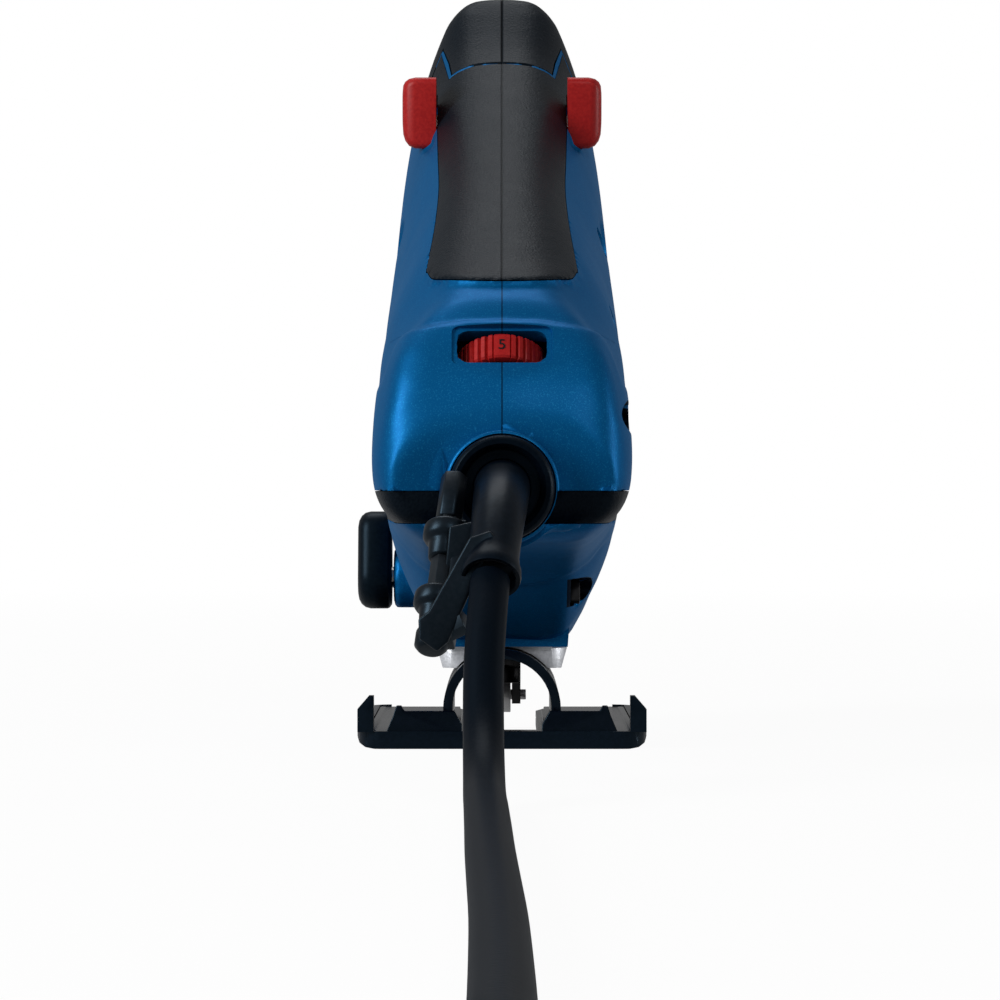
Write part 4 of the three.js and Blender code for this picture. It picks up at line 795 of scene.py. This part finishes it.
def surface(name, dark, bright, metallic=0.0, rough=(0.35, 0.45), specular=0.35, scale=900, bump=0.15):
    """A plain moulded or machined surface: a fine two-tone grain, a cloudy roughness and a little relief."""
    mat, tree, skin = material(name)
    skin.inputs["Metallic"].default_value = metallic
    skin.inputs["Specular IOR Level"].default_value = specular
    # Black mouldings and rubber have a cool sheen.
    if bright[0] < 0.02 and not metallic:
        skin.inputs["Specular Tint"].default_value = (0.42, 0.72, 1, 1)
    fine = grain(tree, scale, 2)
    tree.links.new(mottled(tree, dark, bright, fine), skin.inputs["Base Color"])
    roughened(tree, skin, *rough)
    bumped(tree, skin, fine.outputs["Fac"], bump, 0.0002)
    return mat


def neat(name, mat, body, slot, *nodes, edge=0.0004, segments=2, angle=32):
    """The solids' skins with their facets joined, their edges rounded and their curves smooth."""
    piece = bare_copy(name, *nodes)
    piece.name = name
    pick(piece)
    bpy.ops.object.mode_set(mode="EDIT")
    bpy.ops.mesh.select_all(action="SELECT")
    bpy.ops.mesh.dissolve_limited(angle_limit=math.radians(1))
    bpy.ops.object.mode_set(mode="OBJECT")
    shaped(piece, "BEVEL", width=edge, segments=segments, limit_method="ANGLE",
           angle_limit=math.radians(angle), use_clamp_overlap=True)
    soften(piece, 38)
    finish(piece, mat, body, slot, *nodes)
    return piece


def tube(name, path, sizes, sides=48):
    """A closed round skin along a path: each entry is a share of the way and the radius there."""
    pts = [Vector(p) for p in path]
    rings = []
    for share, radius in sizes:
        at = share * (len(pts) - 1)
        k = min(int(at), len(pts) - 2)
        middle = pts[k].lerp(pts[k + 1], at - k)
        way = (pts[min(k + 2, len(pts) - 1)] - pts[max(k - 1, 0)]).normalized()
        up = way.cross(Vector((1, 0, 0))).normalized()
        over = way.cross(up)
        ring = []
        for i in range(sides):
            a = 2 * math.pi * i / sides
            ring.append(tuple(middle + up * (radius * math.cos(a)) + over * (radius * math.sin(a))))
        rings.append(ring)
    return stacked(name, rings)


boot_rubber = surface(
    "boot_rubber", (0.0005, 0.0016, 0.004), (0.0014, 0.0034, 0.007), 0, (0.34, 0.42), 0.1, 700,
)
boot_path = through([
    (0, -0.088, 0.0712), (0, -0.099, 0.0712), (0, -0.106, 0.0706), (-0.0005, -0.1185, 0.067),
    (-0.0014, -0.1295, 0.0598), (-0.0026, -0.1398, 0.05),
], 8)
boot = tube("bend_relief_boot", boot_path, [
    (0.0, 0.0069), (0.2, 0.0069), (0.4, 0.0068), (0.6, 0.0066), (0.74, 0.0063), (0.84, 0.0061), (0.9, 0.0061),
    (0.935, 0.0064), (0.96, 0.0069), (0.985, 0.0071), (1.0, 0.0069), (1.0, 0.006), (0.985, 0.0053),
    (0.95, 0.0049),
])
soften(boot, 60)
finish(boot, boot_rubber, "housing", "soft_rubber", "strain_relief_sleeve")


def looped(name, rings):
    """A skin over rings of equally many points, whose last ring joins the first."""
    count = len(rings[0])
    faces = []
    for k in range(len(rings)):
        a, b = k * count, (k + 1) % len(rings) * count
        faces += [(a + i, a + (i + 1) % count, b + (i + 1) % count, b + i) for i in range(count)]
    return built(name, [p for ring in rings for p in ring], faces)


gland_rings = []
for out, radius in (
    (-0.091, 0.0129), (-0.1015, 0.0129), (-0.1026, 0.0126), (-0.1031, 0.0119), (-0.103, 0.0108),
    (-0.1019, 0.0099), (-0.1005, 0.0095), (-0.0982, 0.0093), (-0.0982, 0.0072), (-0.091, 0.0072),
):
    gland_rings.append([(radius * math.cos(a), out, ring_height + radius * math.sin(a))
                        for a in (2 * math.pi * i / 72 for i in range(72))])
gland = looped("cord_gland", gland_rings)
soften(gland, 40)
finish(gland, boot_rubber, "housing", "black_plastic", "cord_gland_ring")

clip_plastic = surface("clip_plastic", (0.002, 0.0028, 0.004), (0.0045, 0.0055, 0.0075), 0, (0.32, 0.4), 0.25)
key_top, key_foot = Vector((-11.5, -110, 73.2)), Vector((-16.4, -136, 36))


def laid(piece, start, end):
    """Turns a piece made along +Z from the origin, in millimetres, so that it runs from start towards end."""
    piece.rotation_mode = "QUATERNION"
    piece.rotation_quaternion = (end - start).to_track_quat("Z", "Y")
    piece.location = start / 1000
    piece.scale = (0.001, 0.001, 0.001)
    pick(piece)
    bpy.ops.object.transform_apply(location=True, rotation=True, scale=True)
    return piece


def turned(sizes, sides=32):
    """Rings on the Z axis in millimetres, each a height and a radius."""
    return stacked("turned", [[(r * math.cos(a), r * math.sin(a), z)
                               for a in (2 * math.pi * i / sides for i in range(sides))] for z, r in sizes])


def key_clip():
    reach = (key_foot - key_top).length
    parts = []
    for t in (0.3, 0.72):
        z = t * reach
        collar = [(z, 3.4), (z + 0.3, 4.9), (z + 0.9, 5.6), (z + 3.8, 5.6), (z + 4.6, 5.1), (z + 5.2, 4),
                  (z + 9.5, 3.6), (z + 9.9, 3.2)]
        parts.append(laid(turned(collar), key_top, key_foot))
    parts.append(laid(turned([(-1, 2.9), (-0.4, 3.4), (11.8, 3.4), (12.4, 2.9)], 6), key_top, key_foot))
    parts.append(laid(turned([(reach - 2, 3.2), (reach - 1.4, 4), (reach + 2.4, 4), (reach + 3.6, 3)]),
                      key_top, key_foot))
    spine = slab("spine", [(2.4, -3), (5.2, -3), (5.2, 3), (2.4, 3)], "z", 0.3 * reach, reach + 1.5)
    parts.append(laid(spine, key_top, key_foot))
    # The flat arm that crosses in front of the boot and hooks round the key's foot.
    outline = [(-7.6, 59.6), (-2.8, 61.2), (-1.6, 59.8), (-12.6, 35.2), (-15.2, 33), (-19.4, 36),
               (-19.6, 40.6), (-17.2, 42.4)]
    arm = slab("arm", outline, "y", -138.6, -135.9)
    for vert in arm.data.vertices:
        vert.co.y += 0.11 * (vert.co.z - 60)
    web = slab("web", [(-3.5, 64), (-12.5, 62), (-13.5, 52), (-5, 51)], "y", -127, -119)
    for part in (arm, web):
        part.scale = (0.001, 0.001, 0.001)
        pick(part)
        bpy.ops.object.transform_apply(location=True, rotation=True, scale=True)
    parts += [arm, web]
    bpy.ops.object.select_all(action="DESELECT")
    for part in parts:
        part.select_set(True)
    bpy.context.view_layer.objects.active = parts[0]
    bpy.ops.object.join()
    clip = bpy.context.active_object
    clip.name = "hex_key_clip"
    shaped(clip, "BEVEL", width=0.0005, segments=3, limit_method="ANGLE", angle_limit=math.radians(40))
    soften(clip, 40)
    return clip


finish(key_clip(), clip_plastic, "housing", "black_plastic", "key_clip")
key_steel = surface("key_steel", (0.003, 0.003, 0.0035), (0.008, 0.008, 0.009), 0, (0.35, 0.45), 0.4, 300)
neat("hex_key_bar", key_steel, "housing", "black_steel", "hex_key", edge=0.0003)

# ---------------------------------------------------------------- speed dial and switch

# A ribbed red thumb wheel for the speed, with the setting printed on its rim, and the red slide switch: one
# rounded button on each flank of the grip, joined by a bar through the housing.

red_plastic = surface(
    "red_plastic", (0.34, 0.008, 0.009), (0.42, 0.014, 0.013), 0, (0.36, 0.46), 0.22, 1200, 0.1,
)


def thumb_wheel():
    ribs = 36
    rings = []
    for w, inset in ((-0.0038, 0.0013), (-0.0035, 0.0004), (-0.003, 0), (0.003, 0), (0.0035, 0.0004),
                     (0.0038, 0.0013)):
        ring = []
        for i in range(ribs * 8):
            a = 2 * math.pi * i / (ribs * 8)
            groove = max(0.0, math.cos(i / 8 * 2 * math.pi)) ** 1.5 * 0.00075
            flat = 1.0 if abs((a - math.pi / 2 + math.pi) % (2 * math.pi) - math.pi) > 0.19 else 0.0
            r = 0.0113 - inset - groove * flat
            ring.append(dial_place(r * math.cos(a), r * math.sin(a), w))
        rings.append(ring)
    return stacked("thumb_wheel", rings)


wheel = thumb_wheel()
soften(wheel, 30)
finish(wheel, red_plastic, "speed_dial", "red_plastic", "speed_dial")

bpy.ops.object.select_all(action="DESELECT")
bpy.ops.object.text_add()
figure = bpy.context.active_object
figure.data.body = "5"
figure.data.align_x = "CENTER"
figure.data.align_y = "CENTER"
figure.data.size = 0.0042
figure.data.extrude = 0.00008
bpy.ops.object.convert(target="MESH")
figure = bpy.context.active_object
figure.name = "dial_figure"
figure.rotation_euler = (dial_lean, 0, 0)
figure.location = dial_place(0, 0.01136, 0)
bpy.ops.object.transform_apply(location=True, rotation=True, scale=True)
figure_ink = surface("figure_ink", (0.004, 0.004, 0.004), (0.01, 0.01, 0.01), 0, (0.5, 0.6), 0.2)
finish(figure, figure_ink, "speed_dial", "black_plastic")


def rounded(corners, inset, corner, steps=7):
    """A convex outline drawn in by inset, with its corners rounded."""
    count = len(corners)
    pts = [Vector(c) for c in corners]
    out = []
    for i in range(count):
        a, b, c = pts[i - 1], pts[i], pts[(i + 1) % count]
        u, v = (a - b).normalized(), (c - b).normalized()
        half = u.angle(v) / 2
        middle = b + (u + v).normalized() * ((corner + inset) / math.sin(half))
        outward = (b - a).normalized()
        start = math.atan2(-outward.x, outward.y)
        sweep = math.pi - 2 * half
        for k in range(steps):
            angle = start + sweep * k / (steps - 1)
            out.append((middle.x + corner * math.cos(angle), middle.y + corner * math.sin(angle)))
    return out


def thumb_button(side):
    """A tall rounded pad with a soft outer edge, and the stem that takes it to the slide bar.

    The shells and the rubber are cleared for the pad along its whole travel."""
    corners = [(0.0532, 0.1654), (0.0712, 0.1746), (0.0652, 0.1876), (0.0514, 0.1862)]
    steps = ((0.0186, 0, 0.0018), (0.0245, 0, 0.002), (0.0262, 0.0004, 0.0023), (0.0273, 0.0012, 0.0027),
             (0.0279, 0.0023, 0.003), (0.0281, 0.004, 0.003))
    pad = stacked("pad", [[(side * out, y, z) for y, z in rounded(corners, inset, corner)]
                          for out, inset, corner in steps])
    hand = "left" if side < 0 else "right"
    for step in (0, 0.0035, 0.007):
        room = twin_of(pad, "room")
        shaped(room, "DISPLACE", strength=0.0003, mid_level=0)
        room.location = (0, 0.891 * step, 0.454 * step)
        bpy.ops.object.transform_apply(location=True, rotation=True, scale=True)
        for near in ("_shell", "_soft_softgrip", "_soft_nose_cap"):
            cut(bpy.data.objects[hand + near], room, keep=True)
        bpy.data.objects.remove(room)
    soften(pad, 60)
    low, high = sorted((side * 0.0115, side * 0.0235))
    square = [(-0.004, -0.0044), (0.005, -0.0044), (0.005, -0.002), (-0.004, -0.002)]
    stem = slab("stem", [(0.059 + u * 0.891 - v * 0.454, 0.1764 + u * 0.454 + v * 0.891) for u, v in square],
                "x", low, high)
    bpy.ops.object.select_all(action="DESELECT")
    stem.select_set(True)
    pad.select_set(True)
    bpy.context.view_layer.objects.active = pad
    bpy.ops.object.join()
    pad.name = hand + "_thumb_button"
    return pad


for side, hand in ((-1, "left"), (1, "right")):
    finish(thumb_button(side), red_plastic, "switch_slider", "red_plastic", hand + "_switch_button")

# ---------------------------------------------------------------- orbital lever

# The pendulum-stroke lever: a thick black moulded finger lever with a rounded rim, on a steel cam shaft.

lever_plastic = surface(
    "lever_plastic", (0.0006, 0.002, 0.004), (0.0016, 0.004, 0.007), 0, (0.34, 0.42), 0.14,
)
rings = []
for x, inset in ((-0.0317, 0.0012), (-0.0323, 0.0003), (-0.033, 0), (-0.0378, 0), (-0.0393, 0.0004),
                 (-0.0404, 0.0013), (-0.0411, 0.0026), (-0.0414, 0.0042)):
    outline = [(0.08 + (0.009 - inset) * math.cos(a), 0.045 + (0.009 - inset) * math.sin(a))
               for a in (math.radians(-190 + 200 * i / 28) for i in range(29))]
    outline += [(0.08 + (0.0062 - inset) * math.cos(a), 0.0578 + (0.0062 - inset) * math.sin(a))
                for a in (math.radians(10 + 160 * i / 20) for i in range(21))]
    rings.append([(x, y, z) for y, z in outline])
lever = stacked("pendulum_lever", rings)
soften(lever, 50)
finish(lever, lever_plastic, "lever", "black_plastic", "orbital_lever")

# ---------------------------------------------------------------- foot, base and blade drive

# The die-cast foot under the housing carries a pressed steel saddle; the black-painted plate and its slide
# shoe tilt with it. The blade clamp, the guide roller in its fork and the clamp screw show in the gap.

cast = surface("cast_aluminium", (0.66, 0.68, 0.72), (0.78, 0.8, 0.84), 0.45, (0.36, 0.46), 0.5, 1400, 0.4)
painted = surface(
    "painted_black", (0.0005, 0.001, 0.003), (0.0014, 0.0022, 0.0055), 0, (0.2, 0.28), 0.25, 600,
)
moulded = surface("moulded_black", (0.0008, 0.002, 0.0045), (0.0018, 0.0038, 0.008), 0, (0.24, 0.32), 0.25)
bright = surface("bright_steel", (0.42, 0.42, 0.42), (0.55, 0.55, 0.56), 0.95, (0.22, 0.34), 0.5, 200, 0.05)
dark_steel = surface("dark_steel", (0.008, 0.008, 0.009), (0.022, 0.022, 0.024), 0.6, (0.3, 0.42), 0.5, 250)

neat("cast_foot", cast, "housing", "cast_metal", "gear_housing", edge=0.0007, segments=3)
neat("saddle", painted, "base", "black_steel", "base_saddle", edge=0.0003)
neat("sole_plate", painted, "base", "black_steel", "base_plate", edge=0.0004, segments=3)
neat("slide_shoe_tray", moulded, "base", "black_plastic", "slide_shoe", edge=0.0005, segments=3)
neat("clamp_bridge", dark_steel, "housing", "black_steel", "saddle_clamp_washer", edge=0.0003)
neat("clamp_bolt", dark_steel, "housing", "black_steel", "saddle_clamp_screw", edge=0.0003)
neat("guide_fork", dark_steel, "fork", "black_steel", "roller_fork", edge=0.0003)
neat("roller_axle", bright, "fork", "bright_steel", "roller_pin", edge=0.0002)
neat("grooved_roller", bright, "roller", "bright_steel", "guide_roller", edge=0.0002)
neat("fork_pin", bright, "housing", "bright_steel", "fork_pivot_pin", edge=0.0002)
neat("plunger", bright, "plunger", "bright_steel", "plunger_rod", edge=0.0002)
neat("clamp_body", dark_steel, "plunger", "black_steel", "blade_clamp_core", edge=0.0002)
neat("clamp_collar", dark_steel, "clamp_sleeve", "black_steel", "blade_clamp_sleeve", edge=0.0003)
neat("screws", dark_steel, "housing", "black_steel", "housing_screw_tail_low", "housing_screw_tail_top",
     "housing_screw_belly", "housing_screw_middle", "housing_screw_front", edge=0.0002)

# ---------------------------------------------------------------- plug, tie and everything inside

# The moulded plug at the cord's far end, a hook-and-loop tie round the wound cord, and the working parts in
# the housing: iron, copper, bronze, steel, carbon and switchgear.

plug_rubber = surface(
    "plug_rubber", (0.006, 0.0065, 0.008), (0.011, 0.0115, 0.0135), 0, (0.4, 0.5), 0.35, 700,
)
neat("moulded_plug", plug_rubber, "housing", "soft_rubber", "mains_plug", edge=0.0006, segments=3)

strap_cloth = surface(
    "strap_cloth", (0.006, 0.006, 0.007), (0.016, 0.016, 0.018), 0, (0.75, 0.9), 0.15, 1800, 0.6,
)


def strap_loop(out, low):
    """A rounded rectangle round the section of the wound cord, at the side of the coil."""
    ring = []
    y0, y1, z0, z1, corner = -0.0612 - out, -0.0328 + out, low, 0.0193 + out, 0.0042 + out
    for cy, cz, turn in ((1, 1, 0), (0, 1, 1), (0, 0, 2), (1, 0, 3)):
        for i in range(9):
            a = math.pi / 2 * (turn + i / 8)
            ring.append(((y1 - corner if cy else y0 + corner) + corner * math.cos(a),
                         (z1 - corner if cz else z0 + corner) + corner * math.sin(a)))
    return ring


loops = []
for across, out, low in ((-0.009, 0.0002, 0.00025), (-0.009, 0.0008, 0.00008), (-0.0085, 0.0011, 0.00004),
                         (0.0085, 0.0011, 0.00004), (0.009, 0.0008, 0.00008), (0.009, 0.0002, 0.00025)):
    loops.append([(u, -0.7355 + across, z) for u, z in strap_loop(out, low)])
tie = looped("coil_tie", loops)
soften(tie, 50)
finish(tie, strap_cloth, "housing", "soft_rubber")

motor_iron = surface("laminated_iron", (0.1, 0.1, 0.105), (0.2, 0.2, 0.205), 0.8, (0.4, 0.55), 0.5, 500, 0.3)
copper = surface("copper_winding", (0.35, 0.12, 0.05), (0.6, 0.24, 0.1), 0.9, (0.25, 0.4), 0.5, 900, 0.3)
bronze = surface("sintered_bronze", (0.3, 0.19, 0.07), (0.42, 0.28, 0.12), 0.85, (0.35, 0.5), 0.5, 900, 0.3)
white = surface("white_nylon", (0.6, 0.6, 0.57), (0.72, 0.72, 0.7), 0, (0.4, 0.5), 0.35, 600, 0.1)
carbon = surface(
    "pressed_carbon", (0.012, 0.012, 0.013), (0.03, 0.03, 0.031), 0.1, (0.55, 0.7), 0.3, 900, 0.3,
)
for mat, nodes in (
    (motor_iron, ("motor_field", "armature_core")),
    (copper, ("commutator",)),
    (bronze, ("lower_guide_bush", "upper_guide_bush", "eccentric_bush")),
    (white, ("cooling_fan", "switch_slide_bar", "dial_spindle")),
    (carbon, ("left_carbon_brush", "right_carbon_brush")),
    (bright, ("armature_shaft", "front_ball_bearing", "rear_ball_bearing", "motor_pinion", "gear_axle",
              "orbital_cam_shaft")),
    (dark_steel, ("drive_gear", "plunger_yoke", "counterweight")),
    (moulded, ("main_switch", "speed_control_module")),
):
    for node in nodes:
        for place in cad[node].material_slots:
            place.link = "OBJECT"
            place.material = mat
